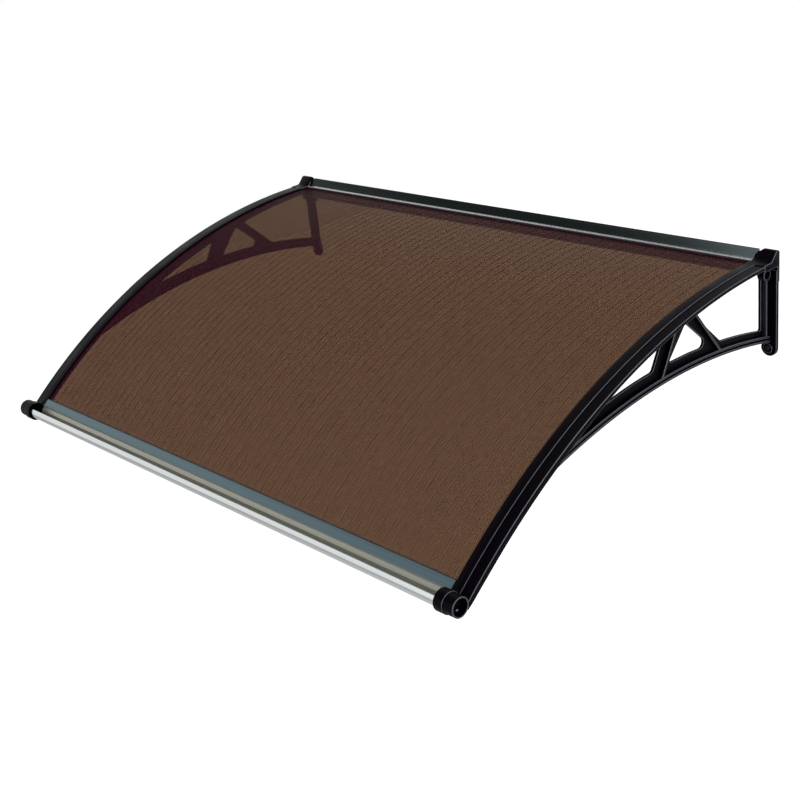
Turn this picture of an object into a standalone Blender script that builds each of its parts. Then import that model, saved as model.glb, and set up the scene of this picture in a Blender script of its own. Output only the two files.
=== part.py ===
# Door canopy with an arched twin-wall polycarbonate roof, two moulded side
# brackets, a front gutter profile and a wall profile.
# Metres, Z up. X runs along the width, the wall plane is y = 0 and the front is
# towards -Y. Shapes are drawn with z = 0 at the wall profile's top edge, and then
# raised so that the origin is the middle of the wall profile's back face.

import bpy
import bmesh
import math
from mathutils import Vector
from mathutils.geometry import tessellate_polygon

for old in list(bpy.data.objects):
    bpy.data.objects.remove(old, do_unlink=True)

# Overall sizes
WIDTH = 1.200
GAP = 0.0003
ORIGIN_RISE = 0.021

# Roof arc, seen from the side: folded evenly, flat at both ends
RIDGE_R = 1.0948
RIDGE_DROP = 0.0118
ARC_Y = -0.0184
FACETS = 10
FACET_ANGLE = math.radians(4.1)

# Roof sheet
SHEET_T = 0.005
SHEET_REAR_Y = -0.009
SHEET_FRONT_RUN = 0.036
FLUTES = 60
FLUTE_WALL = 0.0008
SLOT_PLAY = 0.0005

# Bracket section, widths counted inwards from its outer face
BRACKET_W = 0.036
CHORD_INSET = 0.0004
STEP_IN = 0.019
STEP_DROP = 0.0015
WEB_OUT = 0.021
WEB_T = 0.005
RIB_H = 0.008
RIB_T = 0.004
SLOT_END_IN = 0.022
LIP_T = 0.0025
SKIRT_REAR = 0.0080
SKIRT_FRONT = 0.0125

# Bracket side view: lower chord, post, openings between them
CHORD_R = 1.0490
CHORD_H_REAR = 0.0192
CHORD_H_FRONT = 0.0243
CHORD_H_RUN = 0.330
CHORD_REAR_Z = -0.1554
CHORD_END_BACK = 0.1485
BAND_REAR = 0.0180
BAND_FRONT = 0.0270
BAND_RUN = 0.290
POST_Y = -0.0215
REAR_TOP_Y = -0.198
REAR_LOW_Y = -0.132
MIDDLE_APEX_Y = -0.221
MIDDLE_REAR_Y = -0.1600
MIDDLE_FRONT_Y = -0.2655
FRONT_TOP_Y = -0.284
FRONT_LOW_Y = -0.3045
FRONT_TIP_BACK = 0.007

# Bracket ribs: heights over the lower chord's bottom edge
LOW_RIB_TOP = 0.0032
MID_RIB_LOW = 0.0066

# Rear block over the end of the wall profile
BLOCK_DEPTH = 0.042
BLOCK_TOP_Y = -0.0085
BLOCK_FOOT_Y = -0.0220
BLOCK_SIDE_CUT = 0.0110
BLOCK_SIDE_DROP = 0.0080
BLOCK_RISE = 0.003
BLOCK_CORNER_R = 0.006
BLOCK_LOW_Z = -0.0236

# Wall plate and its round tab
PLATE_T = 0.0065
PLATE_TOP_Z = -0.030
PLATE_INNER_Z = -0.148
PLATE_OUTER_Z = -0.134
PLATE_EDGE_IN = 0.0015
TAB_R = 0.0145
TAB_IN = 0.0160
TAB_Z = -0.1640
TAB_HOLE_R = 0.004
COLLAR_R = 0.0085
COLLAR_H = 0.0035

# Front gutter profile: lip over the sheet, trough and round nose
GUTTER_R = 0.0130
GUTTER_T = 0.0016
LIP_LEN = 0.0135
LIP_FROM = 0.0014
BEAD_R = 0.0013
TROUGH_A = 0.0184
TROUGH_N = 0.0100
RIM_ANGLE = math.radians(84)
PORT_ANGLE = math.radians(-60)
PORT_MOUTH = math.radians(28)
PORT_WALL = 0.0013
PORT_SINK = 0.0012

# Front knuckle of the bracket around the gutter's end
KNUCKLE_RIM = 0.0042
CUP_WALL = 0.0023
CUP_DEPTH = 0.011

# Wall profile
WALL_DEPTH = 0.0250
WALL_T = 0.0016
WALL_LEG_T = 0.0020
WALL_COVER_T = 0.0018
WALL_LEG_Z = -0.041
NECK_HALF = 0.0012

# Seals: strip thickness follows the lip's gap, the raised edge stands behind the lip
SEAL_EDGE_H = 0.0021
SEAL_EDGE_W = 0.0020
SEAL_BACK = 0.0031

# End screws and the ring around the rear one
RING_Y = -0.0150
RING_Z = -0.0365
RING_R = 0.0105
RING_RECESS_R = 0.0075
RING_PROUD = 0.0006
SCREW_R = 0.0016
SCREW_HEAD_R = 0.0030
SCREW_HEAD_T = 0.0022
SCREW_BITE = 0.018

# Sizes that follow
HALF = WIDTH / 2
ARC_Z = -RIDGE_DROP - RIDGE_R
SHEET_TOP_R = RIDGE_R - LIP_T - GAP
SLOT_FLOOR_R = SHEET_TOP_R - SHEET_T - GAP
WEB_IN = WEB_OUT + WEB_T
RIB_OUT = WEB_OUT - RIB_H
PORT_BORE = SCREW_R + GAP
PORT_R = PORT_BORE + PORT_WALL
KNUCKLE_R = GUTTER_R + KNUCKLE_RIM
CUP_R = KNUCKLE_R - STEP_DROP - CUP_WALL
LIP_TO = LIP_FROM + GUTTER_T
SLOT_LOW = -SHEET_T - SLOT_PLAY
INNER_X = HALF - BRACKET_W
PROFILE_HALF = INNER_X - GAP
SHEET_HALF = HALF - SLOT_END_IN - SLOT_PLAY


# Materials
def material(name, rgb, roughness, metallic, alpha=1.0):
    mat = bpy.data.materials.new(name)
    mat.use_nodes = True
    shader = mat.node_tree.nodes["Principled BSDF"]
    shader.inputs["Base Color"].default_value = (*rgb, 1.0)
    shader.inputs["Roughness"].default_value = roughness
    shader.inputs["Metallic"].default_value = metallic
    shader.inputs["Alpha"].default_value = alpha
    mat.diffuse_color = (*rgb, alpha)
    return mat


BLACK = material("moulded_black", (0.006, 0.005, 0.007), 0.34, 0.0)
ALU = material("mill_aluminium", (0.60, 0.62, 0.61), 0.28, 1.0)
BRONZE = material("bronze_polycarbonate", (0.115, 0.062, 0.042), 0.22, 0.0, 0.8)
RUBBER = material("black_rubber", (0.012, 0.012, 0.012), 0.7, 0.0)
STEEL = material("zinc_steel", (0.45, 0.46, 0.47), 0.35, 1.0)


# Solids
def shade(mesh):
    """Smooth across shallow folds, sharp at real edges."""
    for poly in mesh.polygons:
        poly.use_smooth = True
    mesh.set_sharp_from_angle(angle=math.radians(31))


def add_object(name, bm, mat):
    mesh = bpy.data.meshes.new(name)
    bmesh.ops.remove_doubles(bm, verts=bm.verts, dist=0.000002)
    bmesh.ops.recalc_face_normals(bm, faces=bm.faces)
    bm.to_mesh(mesh)
    bm.free()
    mesh.materials.append(mat)
    shade(mesh)
    obj = bpy.data.objects.new(name, mesh)
    bpy.context.scene.collection.objects.link(obj)
    return obj


def prism(outline, low, high, place, holes=()):
    """Solid between two copies of a flat outline; place turns (u, v, w) into a point."""
    loops = [list(outline)] + [list(h) for h in holes]
    bm = bmesh.new()
    ends = []
    for w in (low, high):
        ends.append([bm.verts.new(place(u, v, w)) for loop in loops for u, v in loop])
    flat = [[Vector((u, v, 0.0)) for u, v in loop] for loop in loops]
    for tri in tessellate_polygon(flat):
        for verts in ends:
            bm.faces.new([verts[i] for i in tri])
    start = 0
    for loop in loops:
        n = len(loop)
        for i in range(n):
            a = start + i
            b = start + (i + 1) % n
            bm.faces.new((ends[0][a], ends[0][b], ends[1][b], ends[1][a]))
        start += n
    return bm


def along_x(u, v, w):
    return (w, u, v)


def along_y(u, v, w):
    return (u, w, v)


def on_circle(u, v, radius, angle):
    return (u + radius * math.cos(angle), v + radius * math.sin(angle))


def circle(u, v, radius, n):
    return [on_circle(u, v, radius, 2 * math.pi * i / n) for i in range(n)]


def arc(u, v, radius, a0, a1, n):
    return [on_circle(u, v, radius, a0 + (a1 - a0) * i / n) for i in range(n + 1)]


def polar(radius, angle):
    """Point (y, z) at a radius from the roof arc's centre, angle grows to the front."""
    return (ARC_Y - radius * math.sin(angle), ARC_Z + radius * math.cos(angle))


def join(target, tools, operation="UNION"):
    """Union with, or cut by, a whole set of solids in one exact step."""
    group = bpy.data.collections.new("tools")
    for tool in tools:
        bpy.context.scene.collection.objects.unlink(tool)
        group.objects.link(tool)
    bpy.context.scene.collection.children.link(group)
    mod = target.modifiers.new("bool", "BOOLEAN")
    mod.solver = "EXACT"
    mod.operation = operation
    mod.operand_type = "COLLECTION"
    mod.collection = group
    graph = bpy.context.evaluated_depsgraph_get()
    mesh = bpy.data.meshes.new_from_object(target.evaluated_get(graph))
    target.modifiers.clear()
    bm = bmesh.new()
    bm.from_mesh(mesh)
    bmesh.ops.remove_doubles(bm, verts=bm.verts, dist=0.00002)
    bmesh.ops.dissolve_degenerate(bm, edges=bm.edges, dist=0.00002)
    bm.to_mesh(mesh)
    bm.free()
    shade(mesh)
    old = target.data
    target.data = mesh
    bpy.data.meshes.remove(old)
    for tool in tools:
        bpy.data.objects.remove(tool, do_unlink=True)
    bpy.data.collections.remove(group)


# Lines of the roof that its neighbours share
FOLDS = [FACET_ANGLE * (k + 0.5) for k in range(FACETS)]
FRONT_ANGLE = FACET_ANGLE * FACETS
FRONT_TAN = Vector((-math.cos(FRONT_ANGLE), -math.sin(FRONT_ANGLE)))
FRONT_NORM = Vector((-math.sin(FRONT_ANGLE), math.cos(FRONT_ANGLE)))
SHEET_END = Vector(polar(SHEET_TOP_R, FOLDS[-1])) + FRONT_TAN * SHEET_FRONT_RUN
SHEET_TOP_Z = polar(SHEET_TOP_R, FOLDS[0])[1]
CHORD_TOP_Z = polar(RIDGE_R, FOLDS[0])[1]


def front_point(a, n):
    """Point (y, z) from steps along the roof (a, forwards) and square to it (n, outwards)."""
    p = SHEET_END + FRONT_TAN * a + FRONT_NORM * n
    return (p.x, p.y)


def level_line(radius, rear_y, run):
    """Folded line at one radius, from a rear y to a run past the last fold."""
    pts = [polar(radius, a) for a in FOLDS]
    tip = Vector(pts[-1]) + FRONT_TAN * run
    return [(rear_y, pts[0][1])] + pts + [(tip.x, tip.y)]


# Roof sheet: two skins and the webs between its flutes, folded along the arc
def roof_sheet():
    half = SHEET_HALF
    pitch = 2 * half / FLUTES
    top = level_line(SHEET_TOP_R, SHEET_REAR_Y, SHEET_FRONT_RUN)
    low = level_line(SHEET_TOP_R - SHEET_T, SHEET_REAR_Y, SHEET_FRONT_RUN)
    wall = FLUTE_WALL / SHEET_T
    loops = [[(-half, 0.0), (half, 0.0), (half, 1.0), (-half, 1.0)]]
    for i in range(FLUTES):
        x0 = -half + pitch * i + FLUTE_WALL / 2
        x1 = -half + pitch * (i + 1) - FLUTE_WALL / 2
        if i == 0:
            x0 += FLUTE_WALL / 2
        if i == FLUTES - 1:
            x1 -= FLUTE_WALL / 2
        loops.append([(x0, wall), (x1, wall), (x1, 1 - wall), (x0, 1 - wall)])
    flat = [[Vector((x, t * SHEET_T, 0.0)) for x, t in loop] for loop in loops]
    bm = bmesh.new()
    rows = []
    for (y0, z0), (y1, z1) in zip(low, top):
        row = []
        for loop in loops:
            row += [bm.verts.new((x, y0 + (y1 - y0) * t, z0 + (z1 - z0) * t)) for x, t in loop]
        rows.append(row)
    for tri in tessellate_polygon(flat):
        bm.faces.new([rows[0][i] for i in tri])
        bm.faces.new([rows[-1][i] for i in tri])
    start = 0
    for loop in loops:
        for i in range(4):
            a = start + i
            b = start + (i + 1) % 4
            for r0, r1 in zip(rows[:-1], rows[1:]):
                bm.faces.new((r0[a], r0[b], r1[b], r1[a]))
        start += 4
    return add_object("roof_sheet", bm, BRONZE)


roof_sheet()


# Front profile, drawn in the roof's own directions at the front edge
def front_section():
    inner = GUTTER_R - GUTTER_T
    foot = GUTTER_T
    back = math.asin((TROUGH_N - foot) / inner) - math.pi
    port_run = inner - PORT_R + PORT_SINK
    pa, pn = on_circle(TROUGH_A, TROUGH_N, port_run, PORT_ANGLE)
    spread = math.acos((port_run ** 2 + PORT_R ** 2 - inner ** 2) / (2 * port_run * PORT_R))
    reach = math.asin(PORT_R * math.sin(spread) / inner)
    home = PORT_ANGLE + math.pi
    bore_gap = PORT_MOUTH * 1.5
    pts = [(-LIP_LEN, LIP_TO), (-0.0004, LIP_TO)]
    pts += arc(BEAD_R - 0.0004, LIP_TO, BEAD_R, math.pi * 0.85, math.pi * 0.1, 5)
    pts += [(BEAD_R * 2.5, foot)]
    pts += arc(TROUGH_A, TROUGH_N, inner, back, PORT_ANGLE - reach, 8)
    pts += arc(pa, pn, PORT_R, home + spread, home + PORT_MOUTH, 6)[1:]
    pts += arc(pa, pn, PORT_BORE, home + bore_gap, home + 2 * math.pi - bore_gap, 8)
    pts += arc(pa, pn, PORT_R, home - PORT_MOUTH, home - spread, 6)[:-1]
    pts += arc(TROUGH_A, TROUGH_N, inner, PORT_ANGLE + reach, RIM_ANGLE, 10)
    ra, rn = on_circle(TROUGH_A, TROUGH_N, inner + GUTTER_T / 2, RIM_ANGLE)
    pts += arc(ra, rn, GUTTER_T / 2, RIM_ANGLE + math.pi, RIM_ANGLE, 4)[1:-1]
    under = math.asin(-TROUGH_N / GUTTER_R)
    pts += arc(TROUGH_A, TROUGH_N, GUTTER_R, RIM_ANGLE, -math.pi - under, 16)
    pts += [(SLOT_PLAY + GUTTER_T, 0.0), (SLOT_PLAY + GUTTER_T, SLOT_LOW - GUTTER_T)]
    pts += [(-LIP_LEN, SLOT_LOW - GUTTER_T), (-LIP_LEN, SLOT_LOW), (SLOT_PLAY, SLOT_LOW)]
    pts += [(SLOT_PLAY, LIP_FROM), (-LIP_LEN, LIP_FROM)]
    return [front_point(a, n) for a, n in pts], front_point(pa, pn)


FRONT_SECTION, FRONT_SCREW = front_section()
KNUCKLE_Y, KNUCKLE_Z = front_point(TROUGH_A, TROUGH_N)
add_object("front_profile", prism(FRONT_SECTION, -PROFILE_HALF, PROFILE_HALF, along_x), ALU)


# Wall profile: back leg, sloping cover over a chamber, sheet slot and screw port
WALL_LIP_Z = SHEET_TOP_Z + LIP_FROM
WALL_LIP_TOP = WALL_LIP_Z + WALL_T
WALL_SLOT_Z = SHEET_TOP_Z - SHEET_T - SLOT_PLAY
WALL_PORT = (RING_Y, RING_Z)


def wall_section():
    port_y, port_z = WALL_PORT
    down = -math.pi / 2
    neck = math.asin(NECK_HALF / PORT_R)
    bore_gap = PORT_MOUTH * 1.5
    low = WALL_SLOT_Z - WALL_T
    tip = -WALL_DEPTH
    knee = tip + 0.0063
    slot_y = SHEET_REAR_Y + SLOT_PLAY
    outer = [(0.0, WALL_LEG_Z), (0.0, -0.0012), (-0.0004, -0.0003), (-0.0014, 0.0), (-0.0024, -0.0004)]
    outer += [(knee + 0.0009, WALL_LIP_TOP + 0.0003), (knee, WALL_LIP_TOP)]
    outer += [(tip + 0.0006, WALL_LIP_TOP), (tip, WALL_LIP_TOP - 0.0006), (tip, WALL_LIP_Z)]
    outer += [(slot_y, WALL_LIP_Z), (slot_y, WALL_SLOT_Z), (tip, WALL_SLOT_Z), (tip, low)]
    outer += [(port_y - NECK_HALF, low)]
    outer += arc(port_y, port_z, PORT_R, math.pi / 2 + neck, math.pi * 1.5 - PORT_MOUTH, 6)
    outer += arc(port_y, port_z, PORT_BORE, down - bore_gap + 2 * math.pi, down + bore_gap, 8)
    outer += arc(port_y, port_z, PORT_R, down + PORT_MOUTH, math.pi / 2 - neck, 6)
    outer += [(port_y + NECK_HALF, low), (-WALL_LEG_T - WALL_T, low)]
    outer += [(-WALL_LEG_T, low - WALL_T), (-WALL_LEG_T, WALL_LEG_Z)]
    chamber = [(slot_y + WALL_T, WALL_SLOT_Z), (slot_y + WALL_T, WALL_LIP_TOP)]
    chamber += [(knee + 0.0032, WALL_LIP_TOP)]
    chamber += [(-WALL_LEG_T, -0.0004 - WALL_COVER_T), (-WALL_LEG_T, WALL_SLOT_Z)]
    return outer, chamber


WALL_OUTER, WALL_CHAMBER = wall_section()
add_object("wall_profile", prism(WALL_OUTER, -PROFILE_HALF, PROFILE_HALF, along_x, [WALL_CHAMBER]), ALU)


# Seals: flat strips between lip and sheet with a raised edge behind the lip
def seal(name, lip_edge, back, place):
    pts = [(back, GAP), (back, LIP_FROM - GAP), (lip_edge - GAP, LIP_FROM - GAP)]
    pts += [(lip_edge - GAP, SEAL_EDGE_H), (lip_edge - SEAL_EDGE_W + 0.0007, SEAL_EDGE_H)]
    pts += [(lip_edge - SEAL_EDGE_W, GAP)]
    outline = [place(a, n) for a, n in pts]
    return add_object(name, prism(outline, -PROFILE_HALF, PROFILE_HALF, along_x), RUBBER)


seal("front_seal", -LIP_LEN, -SEAL_BACK, front_point)
seal("rear_seal", -WALL_DEPTH, SHEET_REAR_Y - SEAL_BACK, lambda a, n: (a, SHEET_TOP_Z + n))


# Bracket: curves of its side view
def band_z(y, depth):
    """Height of a line that runs a depth below the roof's ridge line."""
    r = RIDGE_R - depth
    return ARC_Z + math.sqrt(r * r - (y - ARC_Y) ** 2)


CHORD_REAR = Vector((0.0, CHORD_REAR_Z))
CHORD_END_Y = KNUCKLE_Y + CHORD_END_BACK
CHORD_FRONT = Vector((CHORD_END_Y, band_z(CHORD_END_Y, SKIRT_FRONT - 0.0012)))
CHORD_SPAN = CHORD_REAR - CHORD_FRONT
CHORD_SAG = math.sqrt(CHORD_R ** 2 - CHORD_SPAN.length_squared / 4)
CHORD_UP = Vector((-CHORD_SPAN.y, CHORD_SPAN.x)).normalized()
CHORD_CENTRE = (CHORD_REAR + CHORD_FRONT) / 2 - CHORD_UP * CHORD_SAG


def chord_z(y, height):
    """Height of a line that runs a height above the lower chord's bottom edge."""
    r = CHORD_R + height
    return CHORD_CENTRE.y + math.sqrt(r * r - (y - CHORD_CENTRE.x) ** 2)


def grown(y, rear, front, run):
    """Size that grows evenly from the post towards the front over a run."""
    share = min(1.0, max(0.0, (POST_Y - y) / run))
    return rear + (front - rear) * share


def upper(y):
    return band_z(y, grown(y, BAND_REAR, BAND_FRONT, BAND_RUN))


def lower(y):
    return chord_z(y, grown(y, CHORD_H_REAR, CHORD_H_FRONT, CHORD_H_RUN))


def curve(fn, y0, y1, n):
    return [(y0 + (y1 - y0) * i / n, fn(y0 + (y1 - y0) * i / n)) for i in range(n + 1)]


def meeting_y():
    """Where the openings' upper line comes down to their lower line."""
    near = FRONT_LOW_Y
    far = CHORD_END_Y
    for step in range(40):
        y = (near + far) / 2
        if upper(y) > lower(y):
            near = y
        else:
            far = y
    return near


def rounded(points, radii, n=3):
    """Polygon corners cut by small arcs."""
    out = []
    count = len(points)
    for i, (p, r) in enumerate(zip(points, radii)):
        here = Vector(p)
        if r == 0:
            out.append(tuple(here))
            continue
        a = (Vector(points[i - 1]) - here).normalized()
        b = (Vector(points[(i + 1) % count]) - here).normalized()
        half = math.acos(max(-1.0, min(1.0, a.dot(b)))) / 2
        centre = here + (a + b).normalized() * (r / math.sin(half))
        start = here + a * (r / math.tan(half)) - centre
        end = here + b * (r / math.tan(half)) - centre
        turn = math.atan2(start.x * end.y - start.y * end.x, start.dot(end))
        for k in range(n + 1):
            c = math.cos(turn * k / n)
            s = math.sin(turn * k / n)
            out.append((centre.x + start.x * c - start.y * s, centre.y + start.x * s + start.y * c))
    return out


def openings():
    """Three openings of the web: behind, between and in front of the two struts."""
    rear = curve(upper, POST_Y, REAR_TOP_Y, 3) + curve(lower, REAR_LOW_Y, POST_Y, 2)
    rear = rounded(rear, [0.009, 0, 0, 0.002, 0.002, 0, 0.003])
    middle = [(MIDDLE_APEX_Y, upper(MIDDLE_APEX_Y))] + curve(lower, MIDDLE_FRONT_Y, MIDDLE_REAR_Y, 2)
    middle = rounded(middle, [0.002, 0.003, 0, 0.009], 4)
    tip_y = meeting_y() + FRONT_TIP_BACK
    front = curve(upper, FRONT_TOP_Y, tip_y, 3)[:-1] + [(tip_y, (upper(tip_y) + lower(tip_y)) / 2)]
    front += curve(lower, tip_y, FRONT_LOW_Y, 3)[1:]
    front = rounded(front, [0.002, 0, 0, 0, 0, 0, 0.008])
    return [rear, middle, front]


def chord_sweep(x_of):
    """Upper chord: a C-shaped slot for the sheet inside, a lower step outside."""
    slot_top = RIDGE_R - LIP_T
    low = SLOT_FLOOR_R - LIP_T
    shoulder = RIDGE_R - STEP_DROP
    end_skirt = RIDGE_R - 0.0100
    inner = BRACKET_W - CHORD_INSET
    step = STEP_IN - CHORD_INSET
    xs = [inner, step, step, CHORD_INSET, CHORD_INSET, step - 0.0006]
    xs += [inner, inner, SLOT_END_IN, SLOT_END_IN, inner]
    stations = [(0.0, -0.001)] + [(a, None) for a in FOLDS]
    stations += [(FOLDS[-1], SHEET_FRONT_RUN + TROUGH_A - 0.0034)]
    bm = bmesh.new()
    rows = []
    for angle, extra in stations:
        grow = min(1.0, max(0.0, (math.degrees(angle) - 20.0) / 10.0))
        skirt = RIDGE_R - SKIRT_REAR - (SKIRT_FRONT - SKIRT_REAR) * grow
        if extra and angle > 0.0:
            skirt = end_skirt
            low = end_skirt
        rs = [RIDGE_R, RIDGE_R, shoulder, shoulder, skirt, min(skirt, low)]
        rs += [low, SLOT_FLOOR_R, SLOT_FLOOR_R, slot_top, slot_top]
        row = []
        for inward, r in zip(xs, rs):
            if extra is None:
                y, z = polar(r, angle)
            elif angle == 0.0:
                y, z = extra, polar(r, FOLDS[0])[1]
            else:
                y, z = Vector(polar(r, angle)) + FRONT_TAN * extra
            row.append(bm.verts.new((x_of(inward), y, z)))
        rows.append(row)
    n = len(xs)
    flat = [[Vector((xs[i], rs[i], 0.0)) for i in range(n)]]
    for tri in tessellate_polygon(flat):
        bm.faces.new([rows[0][i] for i in tri])
        bm.faces.new([rows[-1][i] for i in tri])
    for r0, r1 in zip(rows[:-1], rows[1:]):
        for i in range(n):
            j = (i + 1) % n
            bm.faces.new((r0[i], r0[j], r1[j], r1[i]))
    bmesh.ops.triangulate(bm, faces=bm.faces)
    return bm


def bar(a, b):
    """Outline of a straight rib around a line between two points."""
    a = Vector(a)
    b = Vector(b)
    side = Vector((-(b - a).y, (b - a).x)).normalized() * RIB_T / 2
    return [tuple(a + side), tuple(b + side), tuple(b - side), tuple(a - side)]


def band(low, high, front_y, rear_y, n):
    """Outline between two lines that follow the lower chord."""
    pts = curve(lambda y: chord_z(y, low), front_y, rear_y, n)
    return pts + curve(lambda y: chord_z(y, high), rear_y, front_y, n)


# Bracket: chord with the sheet slot, web, ribs, wall plate, knuckle and screw ring
def bracket(name, side):
    def x_of(inward):
        return side * (HALF - inward)

    def solid(outline, inward0, inward1, holes=()):
        return add_object("tool", prism(outline, x_of(inward0), x_of(inward1), along_x, holes), BLACK)

    body = add_object(name, chord_sweep(x_of), BLACK)
    rib_root = WEB_OUT + 0.0015
    rib_seat = MID_RIB_LOW + RIB_T / 2
    web_top = RIDGE_R - SLOT_FLOOR_R + LIP_T / 2
    tools = []

    # Web with its three openings
    outline = [(-0.003, polar(RIDGE_R - web_top, FOLDS[0])[1])]
    outline += [polar(RIDGE_R - web_top, a) for a in FOLDS[:-1]]
    outline += curve(lambda y: chord_z(y, 0.0), CHORD_END_Y, -0.003, 14)
    tools.append(solid(outline, WEB_IN, WEB_OUT, openings()))

    # Rear block over the end of the wall profile
    back = -0.0003
    corner_z = BLOCK_RISE - BLOCK_CORNER_R
    block = [(back, PLATE_TOP_Z - 0.020), (back, corner_z)]
    block += arc(back - BLOCK_CORNER_R, corner_z, BLOCK_CORNER_R, 0.0, math.pi / 2, 4)[1:]
    block += [(BLOCK_TOP_Y, BLOCK_RISE), (BLOCK_FOOT_Y, CHORD_TOP_Z + 0.0006)]
    block += [(-BLOCK_DEPTH, CHORD_TOP_Z - 0.0004), (-BLOCK_DEPTH, BLOCK_LOW_Z)]
    block += [(-PLATE_T + 0.001, BLOCK_LOW_Z), (-PLATE_T + 0.001, PLATE_TOP_Z - 0.020)]
    tools.append(solid(block, BRACKET_W, 0.0))

    # Knuckle in two steps
    knuckle = circle(KNUCKLE_Y, KNUCKLE_Z, KNUCKLE_R, 28)
    tools.append(solid(knuckle, BRACKET_W, STEP_IN))
    knuckle = circle(KNUCKLE_Y, KNUCKLE_Z, KNUCKLE_R - STEP_DROP, 28)
    tools.append(solid(knuckle, STEP_IN + 0.002, 0.0))

    # Ribs on the outer side: two along the lower chord, one on each strut and the post
    tools.append(solid(band(-0.0006, LOW_RIB_TOP, CHORD_END_Y + 0.004, -0.002, 14), rib_root, RIB_OUT))
    mid_rib = band(MID_RIB_LOW, MID_RIB_LOW + RIB_T, CHORD_END_Y + 0.044, -0.002, 13)
    tools.append(solid(mid_rib, rib_root, RIB_OUT + 0.0002))
    rear_foot = (REAR_LOW_Y + MIDDLE_REAR_Y) / 2 + 0.004
    rear_head = (REAR_TOP_Y + MIDDLE_APEX_Y) / 2
    front_foot = (MIDDLE_FRONT_Y + FRONT_LOW_Y) / 2 - 0.005
    front_head = (MIDDLE_APEX_Y + FRONT_TOP_Y) / 2 + 0.003
    for foot, head in ((rear_foot, rear_head), (front_foot, front_head)):
        line = bar((head, band_z(head, web_top)), (foot, chord_z(foot, rib_seat)))
        tools.append(solid(line, rib_root, RIB_OUT + 0.0004))
    line = bar((RING_Y, RING_Z), (RING_Y, chord_z(RING_Y, rib_seat)))
    tools.append(solid(line, rib_root, RIB_OUT + 0.0004))

    # Wall plate with its round tab and collar
    x_web = x_of(WEB_IN - 0.0002)
    x_edge = x_of(PLATE_EDGE_IN)
    x_tab = x_of(TAB_IN)
    plate = [(x_web, PLATE_TOP_Z), (x_web, PLATE_INNER_Z)]
    if side > 0:
        plate += arc(x_tab, TAB_Z, TAB_R, math.pi, 2 * math.pi, 10)
    else:
        plate += arc(x_tab, TAB_Z, TAB_R, 0.0, -math.pi, 10)
    plate += [(x_edge, PLATE_OUTER_Z), (x_edge, PLATE_TOP_Z)]
    tools.append(add_object("tool", prism(plate, -PLATE_T, 0.0, along_y), BLACK))
    collar = prism(circle(x_tab, TAB_Z, COLLAR_R, 20), -PLATE_T - COLLAR_H, -PLATE_T / 2, along_y)
    tools.append(add_object("tool", collar, BLACK))

    # Ring around the end screw of the wall profile
    ring = circle(RING_Y, RING_Z, RING_R, 24)
    tools.append(solid(ring, WEB_IN - 0.001, RIB_OUT - RING_PROUD))
    join(body, tools)

    # Cuts: sheet slot through the rear block, cup, ring recess and screw holes
    cuts = []
    slot_low = polar(SLOT_FLOOR_R, FOLDS[0])[1]
    slot_top = polar(RIDGE_R - LIP_T, FOLDS[0])[1]
    slot_y = SHEET_REAR_Y + SLOT_PLAY
    slot_front = -BLOCK_DEPTH - 0.008
    slot = [(slot_y, slot_low), (slot_y, slot_top), (slot_front, slot_top), (slot_front, slot_low)]
    cuts.append(solid(slot, BRACKET_W + 0.002, SLOT_END_IN))
    high = BLOCK_RISE + 0.002
    drop = (BLOCK_SIDE_DROP + 0.002) / BLOCK_SIDE_DROP
    corner = [(x_of(BRACKET_W - BLOCK_SIDE_CUT * drop), high), (x_of(BRACKET_W + 0.001), high)]
    corner += [(x_of(BRACKET_W + 0.001), BLOCK_RISE - BLOCK_SIDE_DROP), (x_of(BRACKET_W), BLOCK_RISE - BLOCK_SIDE_DROP)]
    cuts.append(add_object("tool", prism(corner, BLOCK_FOOT_Y - 0.002, 0.002, along_y), BLACK))
    cuts.append(solid(circle(KNUCKLE_Y, KNUCKLE_Z, CUP_R, 24), CUP_DEPTH, -0.002))
    cuts.append(solid(circle(RING_Y, RING_Z, RING_RECESS_R, 20), WEB_OUT - 0.001, -0.002))
    cuts.append(solid(circle(*FRONT_SCREW, PORT_BORE, 12), BRACKET_W + 0.002, CUP_DEPTH - 0.002))
    cuts.append(solid(circle(*WALL_PORT, PORT_BORE, 12), BRACKET_W + 0.002, WEB_OUT - 0.003))
    hole = prism(circle(x_tab, TAB_Z, TAB_HOLE_R, 16), -PLATE_T - COLLAR_H - 0.010, 0.002, along_y)
    cuts.append(add_object("tool", hole, BLACK))
    join(body, cuts, "DIFFERENCE")
    return body


bracket("bracket_right", 1)
bracket("bracket_left", -1)


# End screws: pan head outside, shank through the bracket into the profile's port
def end_screw(name, side, centre, seat_in):
    y, z = centre
    seat = HALF - seat_in + GAP
    tip = PROFILE_HALF - SCREW_BITE
    profile = [(tip, SCREW_R * 0.45), (tip + 0.0015, SCREW_R), (seat, SCREW_R), (seat, SCREW_HEAD_R)]
    profile += [(seat + SCREW_HEAD_T * 0.6, SCREW_HEAD_R), (seat + SCREW_HEAD_T, SCREW_HEAD_R * 0.62)]
    n = 12
    bm = bmesh.new()
    rows = []
    for x, r in profile:
        rows.append([bm.verts.new((side * x, u, v)) for u, v in circle(y, z, r, n)])
    for r0, r1 in zip(rows[:-1], rows[1:]):
        for i in range(n):
            j = (i + 1) % n
            bm.faces.new((r0[i], r0[j], r1[j], r1[i]))
    bm.faces.new(rows[0])
    bm.faces.new(rows[-1])
    return add_object(name, bm, STEEL)


for label, side in (("right", 1), ("left", -1)):
    end_screw("front_screw_" + label, side, FRONT_SCREW, CUP_DEPTH)
    end_screw("rear_screw_" + label, side, WALL_PORT, WEB_OUT - 0.001)

for piece in bpy.data.objects:
    piece.location.z = ORIGIN_RISE
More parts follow.
